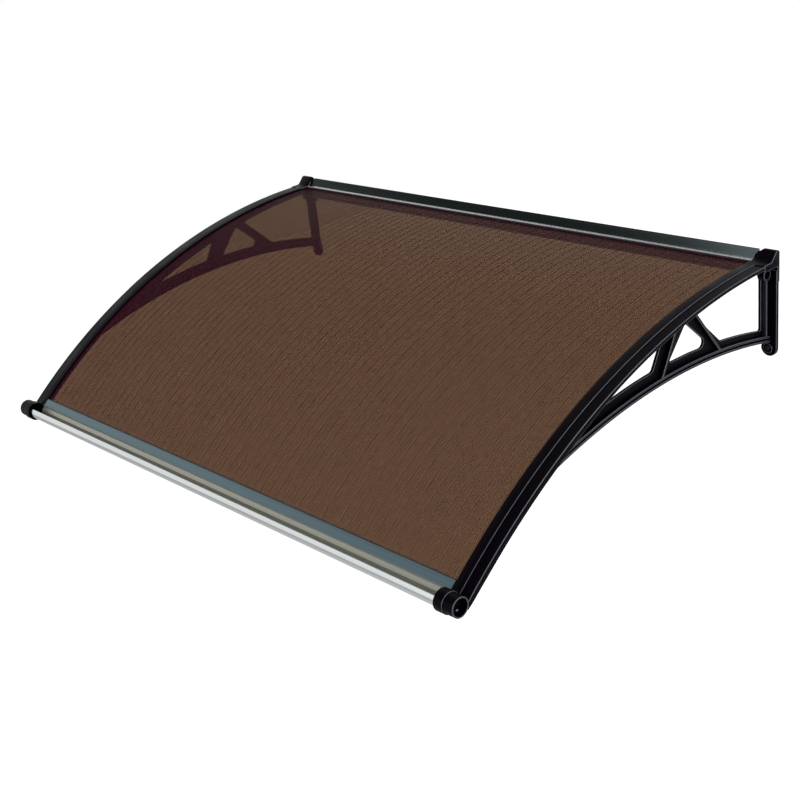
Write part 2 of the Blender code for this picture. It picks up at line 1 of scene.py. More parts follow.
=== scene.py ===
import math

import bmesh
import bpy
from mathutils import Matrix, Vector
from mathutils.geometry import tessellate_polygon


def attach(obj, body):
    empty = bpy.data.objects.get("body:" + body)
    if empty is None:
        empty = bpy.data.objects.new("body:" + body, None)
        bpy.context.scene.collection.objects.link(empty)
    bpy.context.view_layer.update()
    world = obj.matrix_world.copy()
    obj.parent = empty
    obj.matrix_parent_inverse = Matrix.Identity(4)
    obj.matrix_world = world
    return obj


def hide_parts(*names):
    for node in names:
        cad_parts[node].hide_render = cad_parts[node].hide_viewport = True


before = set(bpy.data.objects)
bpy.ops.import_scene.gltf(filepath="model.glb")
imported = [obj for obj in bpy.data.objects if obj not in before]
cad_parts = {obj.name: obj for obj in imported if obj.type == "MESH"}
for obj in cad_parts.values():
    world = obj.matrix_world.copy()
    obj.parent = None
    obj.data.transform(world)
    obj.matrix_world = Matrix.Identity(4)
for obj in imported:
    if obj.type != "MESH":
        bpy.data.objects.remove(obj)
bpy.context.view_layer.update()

# %% [markdown]
# # A door canopy with a twin-wall polycarbonate roof
# The CAD frame is loaded above and stays as it is. This lesson dresses it: each visible
# piece is made again with smooth curves and small rounded edges, gets a material that
# follows the real one, and is lit as in a plain studio. Lengths are metres, X runs along
# the wall, the front of the canopy is towards -Y and Z is up.

# %% [markdown]
# ## The camera
# The photograph looks from the front right and from above, a little over two metres
# away. Its direction is written as three angles, and the matrix is built from them, so
# that each number can be checked against the picture by itself.

# %% Camera at the photograph's viewing angle
FOCAL_PIXELS = 1327.5
IMAGE_PIXELS = 800
CAMERA_PLACE = Vector((1.7244, -1.7725, 0.6667))
CAMERA_TURN = math.radians(49.66)
CAMERA_DOWN = math.radians(22.41)
CAMERA_ROLL = math.radians(-6.33)

lens = bpy.data.cameras.new("camera")
lens.sensor_width = 36.0
lens.lens = FOCAL_PIXELS / IMAGE_PIXELS * lens.sensor_width
camera = bpy.data.objects.new("camera", lens)
bpy.context.scene.collection.objects.link(camera)
ahead = Vector((
    -math.sin(CAMERA_TURN) * math.cos(CAMERA_DOWN),
    math.cos(CAMERA_TURN) * math.cos(CAMERA_DOWN),
    -math.sin(CAMERA_DOWN),
))
level = ahead.cross(Vector((0, 0, 1))).normalized()
upright = level.cross(ahead)
side_axis = level * math.cos(CAMERA_ROLL) + upright * math.sin(CAMERA_ROLL)
up_axis = upright * math.cos(CAMERA_ROLL) - level * math.sin(CAMERA_ROLL)
pose = Matrix((side_axis, up_axis, -ahead)).transposed().to_4x4()
pose.translation = CAMERA_PLACE
camera.matrix_world = pose
bpy.context.scene.camera = camera
bpy.context.scene.view_settings.view_transform = "Standard"
print("lens", round(lens.lens, 2), "mm")

# %% [markdown]
# ## Sizes
# The dressed pieces use the canopy's own sizes. Shapes are drawn in the side view with
# z = 0 at the wall profile's top edge, and lifted by RISE to where the frame has them.
# The CAD roof is folded into ten flats; here it is the smooth arc that touches them.

# %% Sizes of the canopy
HALF = 0.600
GAP = 0.0003
RISE = 0.021
RIDGE_R = 1.0948
RIDGE_DROP = 0.0118
ARC_Y = -0.0184
ARC_Z = -RIDGE_DROP - RIDGE_R
FOLD = math.radians(4.1)
FRONT_ANGLE = FOLD * 10
SMOOTH_R = RIDGE_R * math.cos(FOLD / 2)
SHEET_T = 0.005
SHEET_REAR_Y = -0.009
SHEET_FRONT_RUN = 0.036
FLUTES = 60
SLOT_PLAY = 0.0005
BRACKET_W = 0.036
SLOT_END_IN = 0.022
LIP_T = 0.0025
PROFILE_HALF = HALF - BRACKET_W - GAP
SHEET_HALF = HALF - SLOT_END_IN - SLOT_PLAY
SHEET_DEPTH = LIP_T + GAP
TAIL = SHEET_FRONT_RUN - (RIDGE_R - SHEET_DEPTH) * math.sin(FOLD / 2)
FRONT_TAN = Vector((-math.cos(FRONT_ANGLE), -math.sin(FRONT_ANGLE)))
FRONT_NORM = Vector((-math.sin(FRONT_ANGLE), math.cos(FRONT_ANGLE)))


def roof_point(depth, angle):
    """Side-view point (y, z) at a depth under the roof's ridge line."""
    r = SMOOTH_R - depth
    return Vector((ARC_Y - r * math.sin(angle), ARC_Z + r * math.cos(angle)))


SHEET_END = roof_point(SHEET_DEPTH, FRONT_ANGLE) + FRONT_TAN * TAIL
SHEET_TOP_Z = roof_point(SHEET_DEPTH, 0.0).y
print("sheet ends at y", round(SHEET_END.x, 4), "z", round(SHEET_END.y + RISE, 4))

# %% [markdown]
# ## Small helpers
# Outlines are lists of flat points. `rounded` cuts their corners by arcs, as a file or a
# mould's cutter would. `slab` gives an outline its thickness with eased edges, `barrel`
# turns a profile round an axis along X, and `skin` closes a row of sections. A perfectly
# sharp edge never shines; the eased ones catch the light as moulded plastic does, and
# their faces also get a paler, glossier finish: a painted highlight.

# %% Drawing helpers
def circle_point(u, v, radius, angle):
    return (u + radius * math.cos(angle), v + radius * math.sin(angle))


def arc(u, v, radius, start, stop, steps):
    return [circle_point(u, v, radius, start + (stop - start) * i / steps) for i in range(steps + 1)]


def rounded(points, radii, steps=4):
    """Corners cut by small arcs; a radius of 0 keeps the corner."""
    out = []
    for i, (point, radius) in enumerate(zip(points, radii)):
        here = Vector(point)
        if radius == 0:
            out.append(tuple(here))
            continue
        back = Vector(points[i - 1]) - here
        forth = Vector(points[(i + 1) % len(points)]) - here
        half = math.acos(max(-1.0, min(1.0, back.normalized().dot(forth.normalized())))) / 2
        reach = min(radius / math.tan(half), back.length * 0.49, forth.length * 0.49)
        radius = reach * math.tan(half)
        middle = here + (back.normalized() + forth.normalized()).normalized() * (radius / math.sin(half))
        start = here + back.normalized() * reach - middle
        stop = here + forth.normalized() * reach - middle
        turn = math.atan2(start.x * stop.y - start.y * stop.x, start.dot(stop))
        for k in range(steps + 1):
            c = math.cos(turn * k / steps)
            s = math.sin(turn * k / steps)
            out.append((middle.x + start.x * c - start.y * s, middle.y + start.x * s + start.y * c))
    return out


def signed_area(loop):
    return sum(a[0] * b[1] - b[0] * a[1] for a, b in zip(loop, loop[1:] + loop[:1])) / 2


def shrunk(loop, by):
    """Outline moved to its left-hand side by a small amount."""
    out = []
    count = len(loop)
    for i in range(count):
        a = (Vector(loop[i]) - Vector(loop[i - 1])).normalized()
        b = (Vector(loop[(i + 1) % count]) - Vector(loop[i])).normalized()
        side = Vector((-a.y - b.y, a.x + b.x))
        if side.length < 1e-9:
            side = Vector((-a.y, a.x))
        side = side.normalized()
        stretch = max(0.5, abs(side.dot(Vector((-b.y, b.x)))))
        out.append(tuple(Vector(loop[i]) + side * by / stretch))
    return out


# %% Solid helpers
# Material slots: the body colour, a paler finish on eased edges that is a painted highlight, and a lighter
# finish on the ribs' outer tips that is a painted highlight too.
BODY, EDGE_HIGHLIGHT, TIP_HIGHLIGHT = 0, 1, 2
SHARP = math.radians(32)
MERGE = 0.000002
WELD = 0.00001
EASE_STEPS = ((0.0, 1.0), (0.293, 0.293), (1.0, 0.0))


def shade(mesh):
    """Smooth faces that stay sharp at real edges."""
    mesh.shade_smooth()
    mesh.set_sharp_from_angle(angle=SHARP)


def new_piece(name, mesh):
    piece = bpy.data.objects.new(name, mesh)
    bpy.context.scene.collection.objects.link(piece)
    return piece


def finish_mesh(name, bm):
    """Mesh object with outward faces, smooth except at real edges."""
    bmesh.ops.remove_doubles(bm, verts=bm.verts, dist=MERGE)
    bmesh.ops.recalc_face_normals(bm, faces=bm.faces)
    mesh = bpy.data.meshes.new(name)
    bm.to_mesh(mesh)
    bm.free()
    shade(mesh)
    return new_piece(name, mesh)


def skin(rows, loops, place, row_finish=None, edge_finish=None, cap_finish=BODY):
    """Body through rows of points; each row holds the same closed outlines.

    row_finish and edge_finish give the material slot by row or by place in the row.
    """
    bm = bmesh.new()
    made = [[bm.verts.new(place(*point)) for point in row] for row in rows]
    starts = [sum(loops[:k]) for k in range(len(loops))]
    ranges = [(start, start + count) for start, count in zip(starts, loops)]
    for row, verts in ((rows[0], made[0]), (rows[-1], made[-1])):
        flat = [[Vector((*point[:2], 0.0)) for point in row[a:b]] for a, b in ranges]
        for corner in tessellate_polygon(flat):
            bm.faces.new([verts[i] for i in corner]).material_index = cap_finish
    sides = [(i, i + 1 if i + 1 < b else a) for a, b in ranges for i in range(a, b)]
    for k, (near, far) in enumerate(zip(made, made[1:])):
        for i, j in sides:
            face = bm.faces.new((near[i], near[j], far[j], far[i]))
            face.material_index = row_finish[k] if row_finish else edge_finish[i]
    return bm


def slab(outline, low, high, place, holes=(), ease=0.0006, face=BODY, wall=BODY):
    """Outline with thickness from low to high, its rims eased by small rounds that carry a painted
    highlight.
    """
    loops = []
    for k, loop in enumerate([outline, *holes]):
        loop = list(loop)
        if (signed_area(loop) > 0) != (k == 0):
            loop.reverse()
        loops.append(loop)
    step = math.copysign(ease, high - low)
    stations = [(low + step * out, ease * cut) for out, cut in EASE_STEPS]
    stations += [(high - step * out, ease * cut) for out, cut in reversed(EASE_STEPS)]
    rows = []
    for w, cut in stations:
        cut_loops = [shrunk(loop, cut) if cut else loop for loop in loops]
        rows.append([(u, v, w) for loop in cut_loops for u, v in loop])
    finishes = [EDGE_HIGHLIGHT, EDGE_HIGHLIGHT, wall, EDGE_HIGHLIGHT, EDGE_HIGHLIGHT]
    return finish_mesh("tool", skin(rows, [len(loop) for loop in loops], place, finishes, cap_finish=face))


def along_x(u, v, w):
    return (w, u, v + RISE)


def along_y(u, v, w):
    return (u, w, v + RISE)


def barrel(y, z, profile, steps, eased=(), name="tool"):
    """Body of rotation round an axis along X; profile is (x, radius) from end to end; the bands listed in
    eased carry a painted highlight.
    """
    bm = bmesh.new()
    turns = [2 * math.pi * i / steps for i in range(steps)]
    rings = [[bm.verts.new((x, *circle_point(y, z + RISE, radius, turn))) for turn in turns]
             for x, radius in profile]
    for k, (near, far) in enumerate(zip(rings, rings[1:])):
        for i in range(steps):
            j = (i + 1) % steps
            bm.faces.new((near[i], near[j], far[j], far[i])).material_index = EDGE_HIGHLIGHT if k in eased else BODY
    bm.faces.new(rings[0])
    bm.faces.new(rings[-1])
    return finish_mesh(name, bm)


def mend(mesh, weld=0.0):
    """Weld corners that lie closer than a length, or else only turn the faces outwards."""
    bm = bmesh.new()
    bm.from_mesh(mesh)
    if weld:
        bmesh.ops.remove_doubles(bm, verts=bm.verts, dist=weld)
        bmesh.ops.dissolve_degenerate(bm, edges=bm.edges, dist=weld)
    else:
        bmesh.ops.recalc_face_normals(bm, faces=bm.faces)
    bm.to_mesh(mesh)
    bm.free()


def take_result(piece, weld=0.0):
    """Put the modifier's result into the piece as its plain mesh."""
    graph = bpy.context.evaluated_depsgraph_get()
    mesh = bpy.data.meshes.new_from_object(piece.evaluated_get(graph))
    piece.modifiers.clear()
    mend(mesh, weld)
    shade(mesh)
    piece.data = mesh


def join(target, tools, operation):
    """Union with, or cut by, a whole set of bodies in one exact step."""
    group = bpy.data.collections.new("tools")
    bpy.context.scene.collection.children.link(group)
    for tool in tools:
        bpy.context.scene.collection.objects.unlink(tool)
        group.objects.link(tool)
    step = target.modifiers.new("join", "BOOLEAN")
    step.solver = "EXACT"
    step.operation = operation
    step.operand_type = "COLLECTION"
    step.collection = group
    take_result(target, WELD)
    for tool in tools:
        bpy.data.objects.remove(tool, do_unlink=True)
    bpy.data.collections.remove(group)


# %% [markdown]
# ## Material helpers
# Colours are written as the hex values that a colour picker gives, and one function turns
# them to the linear light that shaders work in. One function adds a node, sets its
# sockets and makes its links, so that each material below reads as a short list.

# %% Colour and node helpers
MM = 0.001


def linear(code):
    """sRGB hex to a linear colour."""
    values = [int(code[i:i + 2], 16) / 255 for i in (1, 3, 5)]
    lit = [v / 12.92 if v <= 0.04045 else ((v + 0.055) / 1.055) ** 2.4 for v in values]
    return (*lit, 1.0)


def feed(item, inputs):
    """Fill sockets: with a value, another socket, or a node's first output in use."""
    for key, value in inputs.items():
        if isinstance(value, bpy.types.Node):
            value = next(out for out in value.outputs if out.enabled)
        if isinstance(value, bpy.types.NodeSocket):
            item.id_data.links.new(value, item.inputs[key])
        else:
            item.inputs[key].default_value = value


def add(tree, kind, inputs=None, **settings):
    """New node with its settings and inputs."""
    item = tree.nodes.new(kind)
    for key, value in settings.items():
        setattr(item, key, value)
    feed(item, inputs or {})
    return item


def new_material(name):
    finish = bpy.data.materials.new(name)
    finish.use_nodes = True
    tree = finish.node_tree
    return finish, tree, tree.nodes["Principled BSDF"]


def clouded(name, tones, scale, detail, gloss, values):
    """Material whose tone follows one noise; scale is one number, or one for each axis.

    gloss holds the roughness at the noise's low and high end, or None where it is even.
    """
    finish, tree, shader = new_material(name)
    place = add(tree, "ShaderNodeTexCoord").outputs["Object"]
    if isinstance(scale, tuple):
        place, scale = add(tree, "ShaderNodeMapping", {"Vector": place, "Scale": scale}), 1.0
    clouds = add(tree, "ShaderNodeTexNoise", {"Vector": place, "Scale": scale, "Detail": detail})
    dark, light = tones
    tone = add(tree, "ShaderNodeMix", {"Factor": clouds, "A": linear(dark), "B": linear(light)},
               data_type="RGBA")
    feed(shader, {"Base Color": tone, **values})
    if gloss:
        (low, smooth), (high, rough) = gloss
        sheen = add(tree, "ShaderNodeMapRange", {"Value": clouds, "From Min": low, "From Max": high,
                                                 "To Min": smooth, "To Max": rough})
        feed(shader, {"Roughness": sheen})
    return finish, tree, shader, clouds


# %% [markdown]
# ### Injection-moulded black plastic
# The brackets are moulded from a black ABS-like plastic in a steel tool whose walls were
# spark-eroded, which leaves a fine even grain. The eye sees a near-black body with a soft
# sheen on flat faces, thin pale lines where an eased edge turns through the light, and
# slow changes in gloss where the melt cooled unevenly. The pale edge lines are partly
# painted highlight: the eased faces get a paler, glossier finish. The ribs' outer tips get
# a lighter finish, a painted highlight for the light that falls on that side. The grain is
# about 0.1 mm in the real mould and is drawn at 1.2 mm, the finest that a picture of the
# whole canopy shows.

# %% Moulded black plastic
GRAIN = 1.2 * MM
FLOW = 60 * MM


def moulded_plastic(name, dark, light, smooth, rough, shine, sheen):
    finish, tree, shader, flow = clouded(
        name, (dark, light), 1 / FLOW, 3.0, ((0.3, smooth), (0.7, rough)),
        {"IOR": 1.53, "Specular IOR Level": shine, "Specular Tint": linear(sheen)})
    place = add(tree, "ShaderNodeTexCoord").outputs["Object"]
    grain = add(tree, "ShaderNodeTexNoise", {"Vector": place, "Scale": 1 / GRAIN, "Detail": 2.0})
    relief = add(tree, "ShaderNodeBump", {"Height": grain, "Strength": 0.12, "Distance": 0.05 * MM})
    feed(shader, {"Normal": relief})
    return finish


moulded_black = moulded_plastic("moulded_black_abs", "#040106", "#08040a", 0.38, 0.52, 0.10, "#38333b")
# Painted highlight: a paler, glossier black for the eased edges, standing in for the light lines they
# catch.
painted_edge_highlight = moulded_plastic("painted_edge_highlight_abs", "#3a4049", "#4f5660", 0.34, 0.44, 0.40, "#ffffff")
# Painted highlight: a lighter black for the ribs' outer tip faces, standing in for light falling on that
# side.
painted_light_rib_tip = moulded_plastic("painted_light_rib_tip_abs", "#1c1921", "#2a2730", 0.34, 0.44, 0.25, "#9a96a0")
print("grain", GRAIN, "m, flow", FLOW, "m")

# %% [markdown]
# ### Bronze twin-wall polycarbonate
# The roof is one extruded sheet: two skins 0.6 mm thick, joined by a web at every flute,
# with a bronze dye through the whole melt. Light passes each skin almost straight, so the
# sheet is drawn as a dyed layer with a glossy skin on it, not as solid glass, which would
# bend the view of the bracket behind. The webs have their own, nearly clear finish: seen
# through the skins they give the faint lines from wall to gutter. Over each web the skin
# sinks a little, and the dye has faint streaks about 6 mm wide and half a metre long.

# %% Bronze polycarbonate
FLUTE_PITCH = 2 * SHEET_HALF / FLUTES
SKIN_SHINE = {"Roughness": 0.24, "IOR": 1.585, "Specular IOR Level": 0.12}
STREAK_WIDTH = 6.25 * MM
STREAK_RUN = 500 * MM
bronze_sheet, tree, shader = new_material("bronze_twin_wall_polycarbonate")
place = add(tree, "ShaderNodeTexCoord").outputs["Object"]
across = add(tree, "ShaderNodeSeparateXYZ", {"Vector": place}).outputs["X"]
flute = add(tree, "ShaderNodeMath", {0: across, 1: 1 / FLUTE_PITCH}, operation="MULTIPLY")
part = add(tree, "ShaderNodeMath", {0: flute}, operation="FRACT")
middle = add(tree, "ShaderNodeMath", {0: part, 1: 0.5}, operation="SUBTRACT")
away = add(tree, "ShaderNodeMath", {0: middle}, operation="ABSOLUTE")
web = add(tree, "ShaderNodeMapRange", {"Value": away, "From Min": 0.30, "From Max": 0.50},
          interpolation_type="SMOOTHSTEP")
streak_map = add(tree, "ShaderNodeMapping", {
    "Vector": place, "Scale": (1 / STREAK_WIDTH, 1 / STREAK_RUN, 1 / STREAK_RUN)})
streaks = add(tree, "ShaderNodeTexNoise", {"Vector": streak_map, "Scale": 1.0, "Detail": 3.0})
dye = add(tree, "ShaderNodeMix", {"Factor": streaks, "A": linear("#cbc2b5"), "B": linear("#c7beb0")},
          data_type="RGBA")
body = add(tree, "ShaderNodeMix", {"Factor": streaks, "A": linear("#6e2b44"), "B": linear("#783450")},
           data_type="RGBA")
sink = add(tree, "ShaderNodeBump", {"Height": web, "Strength": 0.25, "Distance": 0.05 * MM})
feed(shader, {"Base Color": body, "Normal": sink, **SKIN_SHINE})
haze = add(tree, "ShaderNodeMapRange", {"Value": web, "To Min": 0.115, "To Max": 0.125})
clear = add(tree, "ShaderNodeBsdfTransparent", {"Color": dye})
layer = add(tree, "ShaderNodeMixShader", {0: haze, 1: clear, 2: shader})
feed(tree.nodes["Material Output"], {"Surface": layer})

clear_web, tree, shader = new_material("bronze_polycarbonate_web")
feed(shader, {"Base Color": linear("#6e2b44"), **SKIN_SHINE})
clear = add(tree, "ShaderNodeBsdfTransparent", {"Color": linear("#ece6e0")})
layer = add(tree, "ShaderNodeMixShader", {0: 0.02, 1: clear, 2: shader})
feed(tree.nodes["Material Output"], {"Surface": layer})
print("flute pitch", round(FLUTE_PITCH * 1000, 2), "mm")

# %% [markdown]
# ### Extruded aluminium
# Both long profiles are aluminium pushed through a die and clear-anodised. The die leaves
# fine lines along the length, so the gloss is streaked that way. The lines are about
# 0.2 mm apart on a real bar and are drawn at 0.9 mm, so that they show at all. Along the
# bar the tone drifts only one and a half times in a metre. Faces that the photograph
# shows in another tone have their own finish, with light painted in: the wall profile's
# sloping cover is painted dark, a painted reflection of a dark ceiling, and its underside
# is painted pale and mostly non-metallic, painted light where it lies in shade under the
# sheet; the gutter's lip has a painted blue-grey reflection and its trough a painted beige one.

# %% Extruded aluminium
LINE_GAP = 0.9 * MM
LINE_DRIFT = 1.5


def die_lined(name, dark, light, smooth, rough, metal=1.0):
    finish, tree, shader, lines = clouded(
        name, (dark, light), (LINE_DRIFT, 1 / LINE_GAP, 1 / LINE_GAP), 2.0,
        ((0.0, smooth), (1.0, rough)), {"Metallic": metal})
    relief = add(tree, "ShaderNodeBump", {"Height": lines, "Strength": 0.10, "Distance": 0.04 * MM})
    feed(shader, {"Normal": relief})
    return finish


anodised = die_lined("clear_anodised_aluminium", "#d3d7d8", "#e9ecec", 0.12, 0.22)
# Painted reflection: a dark grey for the wall profile's sloping cover, standing in for the dark ceiling it
# reflects.
cover_painted_reflection = die_lined("cover_painted_reflection_aluminium", "#3c4546", "#5c6566", 0.18, 0.30)
# Painted light: a pale, mostly non-metallic white for the wall profile's underside, which lies in shade
# under the sheet.
underside_painted_light = die_lined("underside_painted_light_aluminium", "#d9dbd9", "#ececea", 0.45, 0.60, metal=0.25)
# Painted reflection: a blue-grey tone for the gutter's lip.
lip_painted_reflection = die_lined("lip_painted_reflection_aluminium", "#566b73", "#6d838a", 0.30, 0.42, metal=0.60)
# Painted reflection: a beige tone for the gutter's trough.
trough_painted_reflection = die_lined("trough_painted_reflection_aluminium", "#a3a499", "#bdbdb2", 0.34, 0.46, metal=0.60)

# %% [markdown]
# ### Rubber seals and plated screws
# The seals are extruded EPDM rubber, matt and charcoal, with a faint bloom. The screws are
# steel with black zinc plating: a dark metal with slightly cloudy gloss, which is why only
# a faint glint shows in the deep cups.

# %% Rubber and plated steel
BLOOM = 9 * MM
PLATING = 2 * MM
rubber = clouded("epdm_rubber", ("#17171a", "#232326"), 1 / BLOOM, 4.0, None,
                 {"Roughness": 0.72, "IOR": 1.50})[0]
black_zinc = clouded("black_zinc_plated_steel", ("#4a4c52", "#6a6d74"), 1 / PLATING, 3.0,
                     ((0.0, 0.25), (1.0, 0.45)), {"Metallic": 1.0})[0]
print("materials", len(bpy.data.materials))

# %% [markdown]
# ## Extruded pieces with Geometry Nodes
# An aluminium profile or a rubber seal has one section along its whole length, as it left
# the die. The tree does the same: it pushes the flat section along X, closes the near end
# with the section itself, and sets the material. Only the section differs between pieces.

# %% Tree helpers and the die
def new_tree(name, inputs):
    """Geometry tree with named inputs and one result, and the sockets of its inputs."""
    tree = bpy.data.node_groups.new(name, "GeometryNodeTree")
    for label, kind in inputs.items():
        tree.interface.new_socket(label, in_out="INPUT", socket_type="NodeSocket" + kind)
    tree.interface.new_socket("Result", in_out="OUTPUT", socket_type="NodeSocketGeometry")
    return tree, add(tree, "NodeGroupInput").outputs


def end_tree(tree, shape, dressing):
    """Realize the shape, set its material and give it as the result."""
    real = add(tree, "GeometryNodeRealizeInstances", {"Geometry": shape})
    dressed = add(tree, "GeometryNodeSetMaterial", {"Geometry": real, **dressing})
    add(tree, "NodeGroupOutput", {"Result": dressed})


def run_tree(piece, tree, values):
    """Turn the tree's result into the piece's plain mesh."""
    step = piece.modifiers.new("tree", "NODES")
    step.node_group = tree
    for label, value in values.items():
        step[tree.interface.items_tree[label].identifier] = value
    take_result(piece)
    piece.data.name = piece.name


die, given = new_tree("push_through_die", {"Section": "Geometry", "Length": "Float", "Finish": "Material"})
travel = add(die, "ShaderNodeCombineXYZ", {"X": given["Length"]})
pushed = add(die, "GeometryNodeExtrudeMesh", {"Mesh": given["Section"], "Offset": travel,
                                              "Offset Scale": 1.0, "Individual": False}, mode="FACES")
near_end = add(die, "GeometryNodeFlipFaces", {"Mesh": given["Section"]})
both = add(die, "GeometryNodeJoinGeometry", {"Geometry": pushed})
feed(both, {"Geometry": near_end})
closed = add(die, "GeometryNodeMergeByDistance", {"Geometry": both, "Distance": MERGE})
end_tree(die, closed, {"Material": given["Finish"]})


def extruded(name, outline, finish, holes=()):
    """Section (y, z) pushed through the die over the width between the brackets."""
    loops = [outline, *holes]
    points = [(-PROFILE_HALF, y, z + RISE) for loop in loops for y, z in loop]
    flat = [[Vector((y, z, 0.0)) for y, z in loop] for loop in loops]
    mesh = bpy.data.meshes.new(name)
    mesh.from_pydata(points, [], [tuple(corner) for corner in tessellate_polygon(flat)])
    mend(mesh)
    piece = new_piece(name, mesh)
    run_tree(piece, die, {"Length": 2 * PROFILE_HALF, "Finish": finish})
    print(name, len(piece.data.polygons), "faces")
    return piece


def refinish(piece, finish, wanted):
    """Another finish on the faces whose centre (y, z) and normal pass a test."""
    piece.data.materials.append(finish)
    slot = len(piece.data.materials) - 1
    chosen = [face for face in piece.data.polygons
              if wanted(Vector((face.center.y, face.center.z - RISE)), face.normal)]
    for face in chosen:
        face.material_index = slot
    print(piece.name, finish.name, len(chosen), "faces")


# %% [markdown]
# ### Front gutter profile
# Seen from its end, this bar has a lip over the sheet and one under it, a small drip bead,
# a trough and a round nose, with a screw port inside the nose. The section is drawn in the
# sheet's own slope, so lip and sheet stay parallel, and is then pushed through the die.

# %% Front gutter profile
GUTTER_R = 0.0130
GUTTER_T = 0.0016
LIP_LEN = 0.0135
LIP_FROM = 0.0014
LIP_TO = LIP_FROM + GUTTER_T
BEAD_R = 0.0013
TROUGH_A = 0.0184
TROUGH_N = 0.0100
RIM_ANGLE = math.radians(84)
PORT_ANGLE = math.radians(-60)
PORT_MOUTH = math.radians(28)
PORT_BORE = 0.0016 + GAP
PORT_R = PORT_BORE + 0.0013
SLOT_LOW = -SHEET_T - SLOT_PLAY


def front_point(along, out):
    """Point (y, z) from steps down the roof's slope and square to it."""
    return tuple(SHEET_END + FRONT_TAN * along + FRONT_NORM * out)


def gutter_section():
    inner = GUTTER_R - GUTTER_T
    foot = GUTTER_T
    back = math.asin((TROUGH_N - foot) / inner) - math.pi
    port_run = inner - PORT_R + 0.0012
    pa, pn = circle_point(TROUGH_A, TROUGH_N, port_run, PORT_ANGLE)
    spread = math.acos((port_run ** 2 + PORT_R ** 2 - inner ** 2) / (2 * port_run * PORT_R))
    reach = math.asin(PORT_R * math.sin(spread) / inner)
    home = PORT_ANGLE + math.pi
    bore_gap = PORT_MOUTH * 1.5
    pts = rounded([(-LIP_LEN, LIP_FROM), (-LIP_LEN, LIP_TO), (-0.0004, LIP_TO)], [0, 0.0007, 0], 5)[1:]
    pts += arc(BEAD_R - 0.0004, LIP_TO, BEAD_R, math.pi * 0.85, math.pi * 0.1, 12)
    pts += [(BEAD_R * 2.5, foot + 0.0004), (BEAD_R * 2.5 + 0.0004, foot)]
    pts += arc(TROUGH_A, TROUGH_N, inner, back, PORT_ANGLE - reach, 24)
    pts += arc(pa, pn, PORT_R, home + spread, home + PORT_MOUTH, 12)[1:]
    pts += arc(pa, pn, PORT_BORE, home + bore_gap, home + 2 * math.pi - bore_gap, 18)
    pts += arc(pa, pn, PORT_R, home - PORT_MOUTH, home - spread, 12)[:-1]
    pts += arc(TROUGH_A, TROUGH_N, inner, PORT_ANGLE + reach, RIM_ANGLE, 28)
    ra, rn = circle_point(TROUGH_A, TROUGH_N, inner + GUTTER_T / 2, RIM_ANGLE)
    pts += arc(ra, rn, GUTTER_T / 2, RIM_ANGLE + math.pi, RIM_ANGLE, 8)[1:-1]
    under = math.asin(-TROUGH_N / GUTTER_R)
    pts += arc(TROUGH_A, TROUGH_N, GUTTER_R, RIM_ANGLE, -math.pi - under, 56)
    heel = SLOT_PLAY + GUTTER_T
    low = SLOT_LOW - GUTTER_T
    tail = [(heel, 0.0), (heel, low), (-LIP_LEN, low), (-LIP_LEN, SLOT_LOW), (SLOT_PLAY, SLOT_LOW)]
    tail += [(SLOT_PLAY, LIP_FROM), (-LIP_LEN, LIP_FROM)]
    radii = [0, 0, 0.0006, 0.0006, 0.0003, 0.0003, 0.0003, 0.0003, 0]
    pts += rounded([pts[-1]] + tail + [pts[0]], radii, 4)[1:-1]
    return [front_point(a, n) for a, n in pts], front_point(pa, pn)


gutter_outline, FRONT_SCREW = gutter_section()
KNUCKLE_Y, KNUCKLE_Z = front_point(TROUGH_A, TROUGH_N)
front_profile = extruded("front_gutter_profile", gutter_outline, anodised)
NOSE_FOOT_A = TROUGH_A - GUTTER_R * 0.64


def in_slope(spot):
    """Steps down the roof's slope and square to it, from a point (y, z)."""
    return (spot - SHEET_END).dot(FRONT_TAN), (spot - SHEET_END).dot(FRONT_NORM)


def is_lip(spot, normal):
    along, out = in_slope(spot)
    return along < BEAD_R * 1.5 and out > LIP_FROM + GAP


def is_trough(spot, normal):
    along, out = in_slope(spot)
    inside = math.hypot(along - TROUGH_A, out - TROUGH_N) < GUTTER_R - GUTTER_T / 2
    return not is_lip(spot, normal) and (inside or along < NOSE_FOOT_A)


# The lip's faces get the painted blue-grey reflection.
refinish(front_profile, lip_painted_reflection, is_lip)
# The trough's faces get the painted beige reflection.
refinish(front_profile, trough_painted_reflection, is_trough)

# %% [markdown]
# ### Wall profile
# The rear bar stands on the wall with its back leg, holds the sheet's rear edge in a slot
# and sheds water with a cover that slopes from the wall down to the lip over the sheet.
# Its section is closed behind the cover, so it has one hole for the chamber.

# %% Wall profile
WALL_DEPTH = 0.0250
WALL_T = 0.0016
WALL_LEG_T = 0.0020
WALL_LEG_Z = -0.041
RING_Y = -0.0150
RING_Z = -0.0365
LIP_Z = SHEET_TOP_Z + LIP_FROM
LIP_TOP = LIP_Z + WALL_T
SLOT_Z = SHEET_TOP_Z - SHEET_T - SLOT_PLAY


